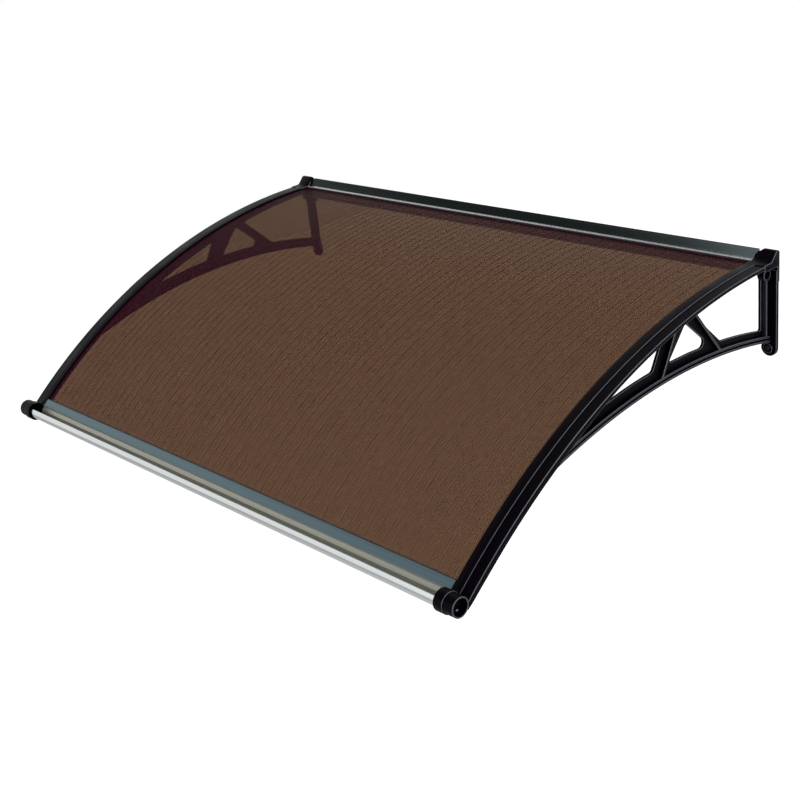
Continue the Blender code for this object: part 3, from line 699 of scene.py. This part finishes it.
def wall_section():
    neck_half = 0.0012
    down = -math.pi / 2
    neck = math.asin(neck_half / PORT_R)
    bore_gap = PORT_MOUTH * 1.5
    low = SLOT_Z - WALL_T
    tip = -WALL_DEPTH
    knee = tip + 0.0063
    slot_y = SHEET_REAR_Y + SLOT_PLAY
    top = rounded([(0.0, WALL_LEG_Z), (0.0, 0.0), (-0.0024, 0.0), (knee, LIP_TOP), (tip, LIP_TOP),
                   (tip, LIP_Z), (slot_y, LIP_Z), (slot_y, SLOT_Z), (tip, SLOT_Z), (tip, low),
                   (RING_Y - neck_half, low)],
                  [0.0003, 0.0010, 0.0020, 0.0008, 0.0006, 0.0003, 0.0002, 0.0002, 0.0003, 0.0005, 0], 5)
    top += arc(RING_Y, RING_Z, PORT_R, math.pi / 2 + neck, math.pi * 1.5 - PORT_MOUTH, 14)
    top += arc(RING_Y, RING_Z, PORT_BORE, down - bore_gap + 2 * math.pi, down + bore_gap, 18)
    top += arc(RING_Y, RING_Z, PORT_R, down + PORT_MOUTH, math.pi / 2 - neck, 14)
    top += [(RING_Y + neck_half, low), (-WALL_LEG_T - WALL_T, low), (-WALL_LEG_T, low - WALL_T)]
    top += [(-WALL_LEG_T, WALL_LEG_Z + 0.0003), (-WALL_LEG_T + 0.0003, WALL_LEG_Z)]
    chamber = [(slot_y + WALL_T, SLOT_Z), (slot_y + WALL_T, LIP_TOP), (knee + 0.0032, LIP_TOP),
               (-WALL_LEG_T, -0.0022), (-WALL_LEG_T, SLOT_Z)]
    return top, chamber


wall_outline, wall_chamber = wall_section()
wall_profile = extruded("wall_cover_profile", wall_outline, anodised, [wall_chamber])
# Painted reflection: the cover's up-facing faces get the dark grey finish.
refinish(wall_profile, cover_painted_reflection, lambda spot, normal: normal.z > 0.3 and spot.y > LIP_TOP + 0.0004)
# Painted light: faces below the sheet's slot get the pale finish where they lie in shade.
refinish(wall_profile, underside_painted_light, lambda spot, normal: spot.y < SLOT_Z)

# %% [markdown]
# ### Seals between the lips and the sheet
# A rubber strip lies in each gap and its bead stands up behind the lip's edge, which is
# the thin dark line along both long edges of the roof. The same die makes them.

# %% Seals
def seal(name, lip_edge, back, point):
    thick = LIP_FROM - GAP
    section = rounded([(back, GAP), (back, thick), (lip_edge - GAP, thick), (lip_edge - GAP, 0.0021),
                       (lip_edge - 0.0016, 0.0021), (lip_edge - 0.0020, GAP)],
                      [0, 0, 0, 0.0005, 0.0008, 0], 4)
    return extruded(name, [point(a, n) for a, n in section], rubber)


front_seal = seal("front_edge_seal", -LIP_LEN, -0.0031, front_point)
rear_seal = seal("wall_edge_seal", -WALL_DEPTH, SHEET_REAR_Y - 0.0031, lambda a, n: (a, SHEET_TOP_Z + n))

# %% [markdown]
# ## The roof sheet
# Twin-wall sheet leaves the factory flat and is bent cold into the brackets' slots. The
# script first makes the flat sheet with its open flutes, and a Geometry Nodes tree then
# bends it: flat at the wall, round over the arc and straight again at the gutter. The
# bend keeps lengths, as real bending does.

# %% Flat sheet with flutes
SKIN_T = 0.0006
WEB_T = 0.0007
SHEET_STEPS = 60
ARC_LEN = (SMOOTH_R - SHEET_DEPTH) * FRONT_ANGLE
SHEET_FROM = -SHEET_REAR_Y
SHEET_TO = -ARC_Y + ARC_LEN + TAIL


def flat_sheet():
    loops = [[(-SHEET_HALF, -SHEET_T), (SHEET_HALF, -SHEET_T), (SHEET_HALF, 0.0), (-SHEET_HALF, 0.0)]]
    for i in range(FLUTES):
        left = -SHEET_HALF + FLUTE_PITCH * i + WEB_T / (1 if i == 0 else 2)
        right = -SHEET_HALF + FLUTE_PITCH * (i + 1) - WEB_T / (1 if i == FLUTES - 1 else 2)
        floor_z = SKIN_T - SHEET_T
        loops.append([(left, floor_z), (right, floor_z), (right, -SKIN_T), (left, -SKIN_T)])
    rows = []
    for k in range(SHEET_STEPS + 1):
        s = SHEET_FROM + (SHEET_TO - SHEET_FROM) * k / SHEET_STEPS
        rows.append([(x, z, s) for loop in loops for x, z in loop])
    skins_and_webs = [0, 0, 0, 0] + [0, 1, 0, 1] * FLUTES
    bm = skin(rows, [4] * len(loops), lambda x, z, s: (x, s, z), edge_finish=skins_and_webs)
    return finish_mesh("roof_sheet_twin_wall", bm)


roof_sheet = flat_sheet()
print("flat sheet", round(SHEET_TO - SHEET_FROM, 4), "m long,", len(roof_sheet.data.polygons), "faces")

# %% Bend the sheet into its arc
BEND_STEPS = (
    ("run", "SUBTRACT", "Y", "Flat run"),
    ("free", "DIVIDE", "run", "Radius"),
    ("over", "MAXIMUM", "free", 0.0),
    ("angle", "MINIMUM", "over", "Angle"),
    ("used", "MULTIPLY", "angle", "Radius"),
    ("rest", "SUBTRACT", "run", "used"),
    ("reach", "ADD", "Z", "Radius"),
    ("sine", "SINE", "angle"),
    ("cosine", "COSINE", "angle"),
    ("out", "MULTIPLY", "reach", "sine"),
    ("up", "MULTIPLY", "reach", "cosine"),
    ("ahead", "MULTIPLY_ADD", "rest", "cosine", "out"),
    ("drop", "MULTIPLY", "rest", "sine"),
    ("front", "MULTIPLY", "ahead", -1.0),
    ("height", "SUBTRACT", "up", "drop"),
)
bend, given = new_tree("cold_bend", {"Flat sheet": "Geometry", "Radius": "Float", "Flat run": "Float",
                                     "Angle": "Float", "Centre": "Vector", "Finish": "Material"})
axes = add(bend, "ShaderNodeSeparateXYZ", {"Vector": add(bend, "GeometryNodeInputPosition")}).outputs
terms = {**dict(given.items()), **dict(axes.items())}
for label, operation, *parts in BEND_STEPS:
    inputs = {k: terms.get(part, part) for k, part in enumerate(parts)}
    terms[label] = add(bend, "ShaderNodeMath", inputs, operation=operation)
bent = add(bend, "ShaderNodeCombineXYZ", {"X": axes["X"], "Y": terms["front"], "Z": terms["height"]})
moved = add(bend, "ShaderNodeVectorMath", {0: bent, 1: given["Centre"]}, operation="ADD")
shaped = add(bend, "GeometryNodeSetPosition", {"Geometry": given["Flat sheet"], "Position": moved})
slot_number = add(bend, "GeometryNodeInputMaterialIndex")
is_skin = add(bend, "FunctionNodeCompare", {2: slot_number, 3: 0}, data_type="INT", operation="EQUAL")
end_tree(bend, shaped, {"Selection": is_skin, "Material": given["Finish"]})
for finish in (bronze_sheet, clear_web):
    roof_sheet.data.materials.append(finish)
run_tree(roof_sheet, bend, {"Radius": SMOOTH_R - SHEET_DEPTH, "Flat run": -ARC_Y, "Angle": FRONT_ANGLE,
                            "Centre": (0.0, ARC_Y, ARC_Z + RISE), "Finish": bronze_sheet})
print("bent sheet's lowest point", round(min(v.co.z for v in roof_sheet.data.vertices), 4))

# %% [markdown]
# ## The side brackets
# Each bracket is one moulding: an arched upper chord with the slot for the sheet, a thin
# web with three openings, ribs that stiffen the web, a post with a wall plate and tab, a
# block over the wall profile's end and a round knuckle over the gutter's end. Modelling
# every part with its edges already eased, and then joining them in one exact Boolean,
# keeps the pale edge lines, eased rounds with a painted highlight finish, where a bevel
# after the Boolean would break at the many small joins.

# %% Sizes of the bracket
CHORD_INSET = 0.0004
STEP_IN = 0.019
STEP_DROP = 0.0015
WEB_OUT = 0.021
WEB_IN = WEB_OUT + 0.005
RIB_T = 0.004
RIB_OUT = WEB_OUT - 0.008
SKIRT_REAR = 0.0080
SKIRT_FRONT = 0.0125
SLOT_FLOOR = LIP_T + GAP + SHEET_T + GAP
CHORD_R = 1.0490
CHORD_H_REAR = 0.0192
CHORD_H_FRONT = 0.0243
CHORD_H_RUN = 0.330
CHORD_REAR = Vector((0.0, -0.1554))
CHORD_END_Y = KNUCKLE_Y + 0.1485
BAND_REAR = 0.0180
BAND_FRONT = 0.0270
BAND_RUN = 0.290
POST_Y = -0.0215
LOW_RIB_TOP = 0.0032
MID_RIB_LOW = 0.0066
KNUCKLE_R = GUTTER_R + 0.0042
CUP_R = KNUCKLE_R - STEP_DROP - 0.0023
CUP_DEPTH = 0.011
CHORD_TOP_Z = roof_point(0.0, 0.0).y


def band_z(y, depth):
    """Height of a line that runs a depth below the roof's ridge line."""
    r = RIDGE_R - depth
    return ARC_Z + math.sqrt(r * r - (y - ARC_Y) ** 2)


chord_front = Vector((CHORD_END_Y, band_z(CHORD_END_Y, SKIRT_FRONT - 0.0012)))
chord_span = CHORD_REAR - chord_front
chord_sag = math.sqrt(CHORD_R ** 2 - chord_span.length_squared / 4)
chord_up = Vector((-chord_span.y, chord_span.x)).normalized()
CHORD_CENTRE = (CHORD_REAR + chord_front) / 2 - chord_up * chord_sag


def chord_z(y, height):
    """Height of a line that runs a height above the lower chord's bottom edge."""
    r = CHORD_R + height
    return CHORD_CENTRE.y + math.sqrt(r * r - (y - CHORD_CENTRE.x) ** 2)


def grown(y, rear, front, run):
    """Size that grows evenly from the post towards the front over a run."""
    return rear + (front - rear) * min(1.0, max(0.0, (POST_Y - y) / run))


def upper(y):
    return band_z(y, grown(y, BAND_REAR, BAND_FRONT, BAND_RUN))


def lower(y):
    return chord_z(y, grown(y, CHORD_H_REAR, CHORD_H_FRONT, CHORD_H_RUN))


def curve(fn, y0, y1, n):
    return [(y0 + (y1 - y0) * i / n, fn(y0 + (y1 - y0) * i / n)) for i in range(n + 1)]


print("lower chord's circle centre", [round(v, 4) for v in CHORD_CENTRE])

# %% [markdown]
# ### Upper chord
# The chord's section is a C that opens inwards and takes the sheet's edge. Outside it has
# a step, 1.5 mm deep, whose two edges are the two pale lines along the arch; these eased
# edges carry a painted highlight finish. The section is swept along the roof's arc; its
# outer skirt grows a little between 20 and 30 degrees.

# %% Upper chord
def chord_section(angle, end_share):
    grow = min(1.0, max(0.0, (math.degrees(angle) - 20.0) / 10.0))
    grow = grow * grow * (3 - 2 * grow)
    skirt = SKIRT_REAR + (SKIRT_FRONT - SKIRT_REAR) * grow
    low = SLOT_FLOOR + LIP_T
    skirt += (0.0100 - skirt) * end_share
    low += (0.0100 - low) * end_share
    inner = BRACKET_W - CHORD_INSET
    step = STEP_IN - CHORD_INSET
    corners = [(inner, 0.0), (step, 0.0), (step, STEP_DROP), (CHORD_INSET, STEP_DROP), (CHORD_INSET, skirt)]
    corners += [(step - 0.0006, max(skirt, low)), (inner, low), (inner, SLOT_FLOOR)]
    corners += [(SLOT_END_IN, SLOT_FLOOR), (SLOT_END_IN, LIP_T), (inner, LIP_T)]
    radii = [0.0008, 0.0007, 0.0003, 0.0010, 0.0008, 0.0003, 0.0004, 0.0004, 0.0003, 0.0003, 0.0006]
    return rounded(corners, radii, 4)


def chord_finishes():
    """Painted highlight finish on the step's riser and on the outer edges, body colour elsewhere."""
    finishes = [BODY] * 55
    for corner in (1, 3, 4):
        finishes[5 * corner:5 * corner + 4] = [EDGE_HIGHLIGHT] * 4
    finishes[9] = EDGE_HIGHLIGHT
    return finishes


def upper_chord():
    steps = 56
    rows = [[(inward, depth, 0.0, -1) for inward, depth in chord_section(0.0, 0.0)]]
    for k in range(steps + 1):
        angle = FRONT_ANGLE * k / steps
        share = max(0.0, (math.degrees(angle) - 38.95) / 5.0)
        rows.append([(inward, depth, angle, 0) for inward, depth in chord_section(angle, share)])
    rows.append([(inward, depth, FRONT_ANGLE, 1) for inward, depth in chord_section(FRONT_ANGLE, 1.0)])
    run_out = SHEET_FRONT_RUN + TROUGH_A - 0.0034 - RIDGE_R * math.sin(FOLD / 2)

    def place(inward, depth, angle, where):
        point = roof_point(depth, angle)
        if where == -1:
            point = Vector((-0.001, point.y))
        if where == 1:
            point = point + FRONT_TAN * run_out
        return (HALF - inward, point.x, point.y + RISE)

    bm = skin(rows, [len(rows[0])], place, edge_finish=chord_finishes())
    return finish_mesh("bracket_right_moulding", bm)


bracket_right = upper_chord()
# Slots: body colour, painted edge highlight, painted rib-tip highlight.
for finish in (moulded_black, painted_edge_highlight, painted_light_rib_tip):
    bracket_right.data.materials.append(finish)
print("upper chord", len(bracket_right.data.polygons), "faces")

# %% [markdown]
# ### Web, ribs and post
# The web is a plate with three openings. Every corner of an opening has a radius, as the
# mould has, and the ribs stand 8 mm proud of the web's outer face: two along the lower
# chord, one on each strut and one down the post.

# %% Web with its three openings
REAR_TOP_Y = -0.198
REAR_LOW_Y = -0.132
MIDDLE_APEX_Y = -0.221
MIDDLE_REAR_Y = -0.1600
MIDDLE_FRONT_Y = -0.2655
FRONT_TOP_Y = -0.284
FRONT_LOW_Y = -0.3045


def tip_of_openings():
    near, far = FRONT_LOW_Y, CHORD_END_Y
    for _ in range(40):
        y = (near + far) / 2
        near, far = (y, far) if upper(y) > lower(y) else (near, y)
    return near + 0.007


def web_openings():
    rear = curve(upper, POST_Y, REAR_TOP_Y, 14) + curve(lower, REAR_LOW_Y, POST_Y, 8)
    rear = rounded(rear, [0.009] + [0] * 13 + [0.0022, 0.0022] + [0] * 7 + [0.003], 6)
    middle = [(MIDDLE_APEX_Y, upper(MIDDLE_APEX_Y))] + curve(lower, MIDDLE_FRONT_Y, MIDDLE_REAR_Y, 2)
    middle = rounded(middle, [0.0022, 0.003, 0, 0.009], 8)
    tip = tip_of_openings()
    front = curve(upper, FRONT_TOP_Y, tip, 12)[:-1] + [(tip, (upper(tip) + lower(tip)) / 2)]
    front += curve(lower, tip, FRONT_LOW_Y, 12)[1:]
    front = rounded(front, [0.0022] + [0] * (len(front) - 2) + [0.008], 8)
    return [rear, middle, front]


def right_slab(outline, inward_from, inward_to, **form):
    """Slab of the right bracket between two distances in from its outer face."""
    return slab(outline, HALF - inward_from, HALF - inward_to, along_x, **form)


web_top = SLOT_FLOOR + LIP_T / 2
web_outline = [(-0.003, roof_point(web_top, 0.0).y)]
web_outline += [tuple(roof_point(web_top, math.radians(37.0) * k / 40)) for k in range(41)]
web_outline += curve(lambda y: chord_z(y, 0.0), CHORD_END_Y, -0.003, 40)
tools = [right_slab(web_outline, WEB_IN, WEB_OUT, holes=web_openings(), ease=0.0008)]
print("openings end at y", round(tip_of_openings(), 4))

# %% Ribs
def band(low, high, front_y, rear_y, n):
    pts = curve(lambda y: chord_z(y, low), front_y, rear_y, n)
    return pts + curve(lambda y: chord_z(y, high), rear_y, front_y, n)


def bar(a, b, thick):
    a, b = Vector(a), Vector(b)
    side = Vector((-(b - a).y, (b - a).x)).normalized() * thick / 2
    return [tuple(a + side), tuple(b + side), tuple(b - side), tuple(a - side)]


# The ribs' outer tip faces get the lighter finish, a painted highlight.
RIB_FORM = {"ease": 0.0009, "face": TIP_HIGHLIGHT}
rib_root = WEB_OUT + 0.0015
rib_seat = MID_RIB_LOW + RIB_T / 2
low_rib = band(-0.0006, LOW_RIB_TOP, CHORD_END_Y + 0.004, -0.002, 40)
middle_rib = band(MID_RIB_LOW, MID_RIB_LOW + RIB_T, CHORD_END_Y + 0.044, -0.002, 36)
tools.append(right_slab(low_rib, rib_root, RIB_OUT, **RIB_FORM))
tools.append(right_slab(middle_rib, rib_root, RIB_OUT + 0.0002, **RIB_FORM))
rear_foot = (REAR_LOW_Y + MIDDLE_REAR_Y) / 2 + 0.004
rear_head = (REAR_TOP_Y + MIDDLE_APEX_Y) / 2
front_foot = (MIDDLE_FRONT_Y + FRONT_LOW_Y) / 2 - 0.005
front_head = (MIDDLE_APEX_Y + FRONT_TOP_Y) / 2 + 0.003
for foot, head in ((rear_foot, rear_head), (front_foot, front_head)):
    line = bar((head, band_z(head, web_top)), (foot, chord_z(foot, rib_seat)), RIB_T)
    tools.append(right_slab(line, rib_root, RIB_OUT + 0.0004, **RIB_FORM))
line = bar((RING_Y, RING_Z), (RING_Y, chord_z(RING_Y, rib_seat)), RIB_T)
# The post rib's side walls get the same painted highlight as the tips.
tools.append(right_slab(line, rib_root, RIB_OUT + 0.0004, wall=TIP_HIGHLIGHT, **RIB_FORM))
print("ribs", len(tools) - 1)

# %% [markdown]
# ### Block, knuckle, plate and ring
# The block closes the wall profile's end and leans back to the wall. The knuckle is a
# stepped drum whose outer face is sunk to a cup with the end screw at its floor. The plate
# stands on the wall and ends in a round tab with an empty screw hole in a raised collar.

# %% Block, knuckle, plate and ring
BLOCK_RISE = 0.003
BLOCK_TOP_Y = -0.0085
BLOCK_FOOT_Y = -0.0220
BLOCK_DEPTH = 0.042
BLOCK_SIDE_CUT = 0.0110
BLOCK_SIDE_DROP = 0.0080
PLATE_T = 0.0065
PLATE_TOP_Z = -0.030
TAB_R = 0.0145
TAB_X = HALF - 0.0160
TAB_Z = -0.1640
RING_R = 0.0105
RING_RECESS_R = 0.0075

block = [(-0.0003, PLATE_TOP_Z - 0.020), (-0.0003, BLOCK_RISE), (BLOCK_TOP_Y, BLOCK_RISE)]
block += [(BLOCK_FOOT_Y, CHORD_TOP_Z + 0.0006), (-BLOCK_DEPTH, CHORD_TOP_Z - 0.0004)]
block += [(-BLOCK_DEPTH, -0.0236)]
block += [(-PLATE_T + 0.001, -0.0236), (-PLATE_T + 0.001, PLATE_TOP_Z - 0.020)]
block = rounded(block, [0, 0.006, 0.004, 0.006, 0, 0.001, 0, 0], 8)
tools.append(right_slab(block, BRACKET_W, 0.0, ease=0.0010))


RIM = range(5)


def drum(y, z, face, root, radius, ease, steps):
    """Drum between two distances from the outer face, its outer rim eased and given the painted highlight.
    """
    profile = [(HALF - face - ease * (1 - math.sin(t)), radius - ease * (1 - math.cos(t)))
               for t in [math.pi / 2 * k / 5 for k in range(5, -1, -1)]]
    tools.append(barrel(y, z, profile + [(HALF - root, radius)], steps, eased=RIM))


drum(KNUCKLE_Y, KNUCKLE_Z, STEP_IN, BRACKET_W, KNUCKLE_R, 0.0008, 72)
drum(KNUCKLE_Y, KNUCKLE_Z, 0.0, STEP_IN + 0.002, KNUCKLE_R - STEP_DROP, 0.0010, 72)
drum(RING_Y, RING_Z, RIB_OUT - 0.0006, WEB_IN - 0.001, RING_R, 0.0009, 48)

plate_edge = HALF - 0.0015
plate = [(HALF - WEB_IN + 0.0002, PLATE_TOP_Z), (HALF - WEB_IN + 0.0002, -0.148)]
plate += arc(TAB_X, TAB_Z, TAB_R, math.pi, 2 * math.pi, 28)
plate += [(plate_edge, -0.134), (plate_edge, PLATE_TOP_Z)]
tools.append(slab(plate, -PLATE_T, 0.0, along_y, ease=0.0008))
collar = arc(TAB_X, TAB_Z, 0.0085, 0.0, 2 * math.pi, 40)[:-1]
tools.append(slab(collar, -PLATE_T - 0.0035, -PLATE_T / 2, along_y, ease=0.0008))
join(bracket_right, tools, "UNION")
print("joined bracket", len(bracket_right.data.polygons), "faces")

# %% [markdown]
# ### Cuts
# One step takes away the sheet's slot at the block, the block's leaning inner corner, the
# cup, the ring's recess and the screw holes. The cup's and recess's cutters flare at the
# mouth, so their rims come out eased as well, with the painted highlight finish.

# %% Cuts
MOUTH = range(5, 9)


def flared(y, z, mouth, floor, radius, ease, steps):
    """Cutter that opens to the outside with an eased mouth, given the painted highlight, and a rounded
    floor.
    """
    quarter = [math.pi / 2 * k / 4 for k in range(5)]
    profile = [(HALF - floor, radius - ease)]
    profile += [(HALF - floor + ease * (1 - math.cos(t)), radius - ease * (1 - math.sin(t)))
                for t in quarter[1:]]
    profile += [(HALF - mouth - ease * (1 - math.sin(t)), radius + ease * (1 - math.cos(t)))
                for t in quarter]
    return barrel(y, z, profile + [(HALF - mouth + 0.004, radius + ease)], steps, eased=MOUTH)


def screw_hole(y, z, inward_to):
    return barrel(y, z, [(HALF - BRACKET_W - 0.002, PORT_BORE), (HALF - inward_to, PORT_BORE)], 24)


slot_low = roof_point(SLOT_FLOOR, 0.0).y
slot_top = roof_point(LIP_T, 0.0).y
slot_rear = SHEET_REAR_Y + SLOT_PLAY
slot_front = -BLOCK_DEPTH - 0.008
slot = [(slot_rear, slot_low), (slot_rear, slot_top), (slot_front, slot_top), (slot_front, slot_low)]
high = BLOCK_RISE + 0.002
drop = (BLOCK_SIDE_DROP + 0.002) / BLOCK_SIDE_DROP
lean = [(HALF - BRACKET_W + BLOCK_SIDE_CUT * drop, high), (HALF - BRACKET_W - 0.001, high)]
lean += [(x, BLOCK_RISE - BLOCK_SIDE_DROP) for x in (HALF - BRACKET_W - 0.001, HALF - BRACKET_W)]
tab_hole = arc(TAB_X, TAB_Z, 0.004, 0.0, 2 * math.pi, 28)[:-1]
cuts = [
    slab(slot, HALF - BRACKET_W - 0.002, HALF - SLOT_END_IN, along_x, ease=0.0001),
    slab(lean, BLOCK_FOOT_Y - 0.002, 0.002, along_y, ease=0.0001),
    flared(KNUCKLE_Y, KNUCKLE_Z, 0.0, CUP_DEPTH, CUP_R, 0.0008, 72),
    flared(RING_Y, RING_Z, RIB_OUT - 0.0006, WEB_OUT - 0.001, RING_RECESS_R, 0.0007, 48),
    screw_hole(*FRONT_SCREW, CUP_DEPTH - 0.002),
    screw_hole(RING_Y, RING_Z, WEB_OUT - 0.003),
    slab(tab_hole, -PLATE_T - 0.015, 0.002, along_y, ease=0.0001),
]
join(bracket_right, cuts, "DIFFERENCE")
# Faces on eased edges carry the painted highlight finish.
print("finished bracket", len(bracket_right.data.polygons), "faces,",
      sum(face.material_index == EDGE_HIGHLIGHT for face in bracket_right.data.polygons), "on eased edges")

# %% [markdown]
# ### The left bracket
# The left bracket is the right one mirrored at the middle of the canopy. Mirroring turns
# every face inside out, so the faces are flipped back afterwards.

# %% Mirror to the left
left_mesh = bracket_right.data.copy()
left_mesh.name = "bracket_left_moulding"
left_mesh.transform(Matrix.Scale(-1.0, 4, (1.0, 0.0, 0.0)))
left_mesh.flip_normals()
bracket_left = new_piece("bracket_left_moulding", left_mesh)
for piece in (bracket_left, bracket_right):
    xs = [v.co.x for v in piece.data.vertices]
    print(piece.name, round(min(xs), 4), round(max(xs), 4))

# %% [markdown]
# ## End screws
# Pan-head screws hold the brackets to the two profiles. One screw is turned as a body of
# rotation and gets its cross recess from two thin cutters; a Geometry Nodes tree then sets
# it on its hole, with its own turn, because no two screws stop at the same angle.

# %% One pan-head screw
SCREW_R = 0.0016
HEAD_R = 0.0030
HEAD_T = 0.0022
SCREW_REACH = 0.018
BLADE_LONG = HEAD_R * 0.55
BLADE_THIN = 0.00035


def pan_screw(name, seat):
    """Screw along +X with its head's seat at x = 0."""
    reach = seat - (PROFILE_HALF - SCREW_REACH)
    profile = [(-reach, SCREW_R * 0.45), (-reach + 0.0015, SCREW_R)]
    turns = 14
    for k in range(turns):
        x = -reach + 0.002 + (reach - 0.004) * k / turns
        step = (reach - 0.004) / turns
        profile += [(x, SCREW_R * 0.80), (x + step * 0.5, SCREW_R)]
    profile += [(-0.0015, SCREW_R * 0.80), (0.0, SCREW_R * 0.95), (0.0, HEAD_R - 0.0002), (0.0002, HEAD_R)]
    profile += [(HEAD_T * 0.45, HEAD_R), (HEAD_T * 0.80, HEAD_R * 0.80), (HEAD_T, HEAD_R * 0.45)]
    screw = barrel(0.0, -RISE, profile, 28, name=name)
    blades = []
    for u, v in ((BLADE_LONG, BLADE_THIN), (BLADE_THIN, BLADE_LONG)):
        corners = [(-u, -v - RISE), (u, -v - RISE), (u, v - RISE), (-u, v - RISE)]
        blades.append(slab(corners, HEAD_T * 0.45, HEAD_T + 0.001, along_x, ease=0.00005))
    join(screw, blades, "DIFFERENCE")
    return screw


# %% The tree that drives a screw home
drive, given = new_tree("drive_screw", {"Screw": "Geometry", "Place": "Vector", "Turn": "Vector",
                                        "Finish": "Material"})
spot = add(drive, "GeometryNodeMeshLine", {"Count": 1, "Start Location": given["Place"]})
facing = add(drive, "FunctionNodeEulerToRotation", {"Euler": given["Turn"]})
seated = add(drive, "GeometryNodeInstanceOnPoints", {"Points": spot, "Instance": given["Screw"],
                                                     "Rotation": facing})
end_tree(drive, seated, {"Material": given["Finish"]})

SCREW_ROWS = (("front", FRONT_SCREW, CUP_DEPTH, 0.4), ("rear", (RING_Y, RING_Z), WEB_OUT - 0.001, 1.1))
screws = {}
for label, (y, z), seat_in, turn in SCREW_ROWS:
    for hand, side in (("right", 1), ("left", -1)):
        seat = HALF - seat_in + GAP
        screw = pan_screw(label + "_end_screw_" + hand, seat)
        facing_side = 0.0 if side > 0 else math.pi
        run_tree(screw, drive, {"Place": (side * seat, y, z + RISE), "Finish": black_zinc,
                                "Turn": (turn + 0.7 * side, 0.0, facing_side)})
        screws[label + "_screw_" + hand] = screw
print("screws", len(screws), "with", len(screw.data.polygons), "faces each")

# %% [markdown]
# ## Every piece takes its node's place
# Nothing on this canopy moves, so every piece rides on the one body. Each stands for the
# CAD node of the same piece, which stays hidden in the frame for collision.

# %% Ride and replace
pairs = {
    "bracket_right": (bracket_right, "moulded_black"),
    "bracket_left": (bracket_left, "moulded_black"),
    "roof_sheet": (roof_sheet, "bronze_polycarbonate"),
    "front_profile": (front_profile, "mill_aluminium"),
    "wall_profile": (wall_profile, "mill_aluminium"),
    "front_seal": (front_seal, "black_rubber"),
    "rear_seal": (rear_seal, "black_rubber"),
}
for node_name, screw in screws.items():
    pairs[node_name] = (screw, "zinc_steel")
for node_name, (piece, slot_name) in pairs.items():
    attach(piece, "root")
    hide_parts(node_name)
print("pieces", len(pairs))

# %% [markdown]
# ## Floor, backdrop and light
# The canopy hangs at its own height over a pale floor, far enough down that its soft
# shadow lies under the picture. The world is a white studio: camera, glass and metal see
# it white near the horizon, while it lights the canopy only gently. Its ceiling is dark,
# which is why the sloping cover of the wall profile looks darker than the lip below it;
# the cover's own finish also has this dark reflection painted in.

# %% Floor
FLOOR_Z = -2.2


def seen_directly(tree):
    """One where the camera looks, straight or through the sheet."""
    ray = add(tree, "ShaderNodeLightPath").outputs
    return ray, add(tree, "ShaderNodeMath", {0: ray["Is Camera Ray"], 1: ray["Is Transmission Ray"]},
                    operation="MAXIMUM")


bpy.ops.mesh.primitive_grid_add(x_subdivisions=8, y_subdivisions=8, size=14.0, location=(0.0, 0.0, 0.0))
floor = bpy.context.object
floor.name = "pale_floor"
floor.data.transform(Matrix.Translation((0.0, 0.0, FLOOR_Z)))
pale_floor, tree, shader = new_material("pale_studio_floor")
feed(shader, {"Base Color": linear("#f2f2f0"), "Roughness": 0.9, "Specular IOR Level": 0.1})
ray, seen = seen_directly(tree)
power = add(tree, "ShaderNodeMapRange", {"Value": seen, "To Min": 0.10, "To Max": 0.80})
glow = add(tree, "ShaderNodeEmission", {"Color": (1.0, 1.0, 1.0, 1.0), "Strength": power})
lit = add(tree, "ShaderNodeAddShader", {0: shader, 1: glow})
feed(tree.nodes["Material Output"], {"Surface": lit})
floor.data.materials.append(pale_floor)

# %% World
GENTLE = 0.35
world = bpy.data.worlds.new("studio")
bpy.context.scene.world = world
world.use_nodes = True
tree = world.node_tree
ray, seen = seen_directly(tree)
way = add(tree, "ShaderNodeTexCoord").outputs["Generated"]
rise = add(tree, "ShaderNodeSeparateXYZ", {"Vector": way}).outputs["Z"]
ceiling = add(tree, "ShaderNodeMapRange", {"Value": rise, "From Min": 0.54, "From Max": 0.64,
                                           "To Min": 0.90, "To Max": 0.05},
              interpolation_type="SMOOTHSTEP")
gentle = add(tree, "ShaderNodeMix", {"Factor": ray["Is Glossy Ray"], "A": GENTLE, "B": ceiling},
             data_type="FLOAT")
strength = add(tree, "ShaderNodeMix", {"Factor": seen, "A": gentle, "B": 1.0}, data_type="FLOAT")
feed(tree.nodes["Background"], {"Color": (1.0, 1.0, 1.0, 1.0), "Strength": strength})


# %% Softboxes
def softbox(name, place, width, height, watts, aim):
    light = bpy.data.lights.new(name, "AREA")
    light.shape = "RECTANGLE"
    light.size = width
    light.size_y = height
    light.energy = watts
    box = bpy.data.objects.new(name, light)
    bpy.context.scene.collection.objects.link(box)
    box.location = place
    box.rotation_euler = (Vector(aim) - Vector(place)).to_track_quat("-Z", "Y").to_euler()
    return box


AIM = (0.0, -0.35, -0.1)
softbox("right_softbox", (2.8, 0.2, 0.2), 1.6, 1.8, 40.0, (0.6, -0.35, -0.1))
softbox("front_softbox", (0.2, -2.8, 0.5), 2.2, 1.2, 30.0, AIM)
softbox("top_softbox", (0.0, -0.2, 2.6), 2.2, 2.2, 25.0, AIM)
print("lights", len(bpy.data.lights))
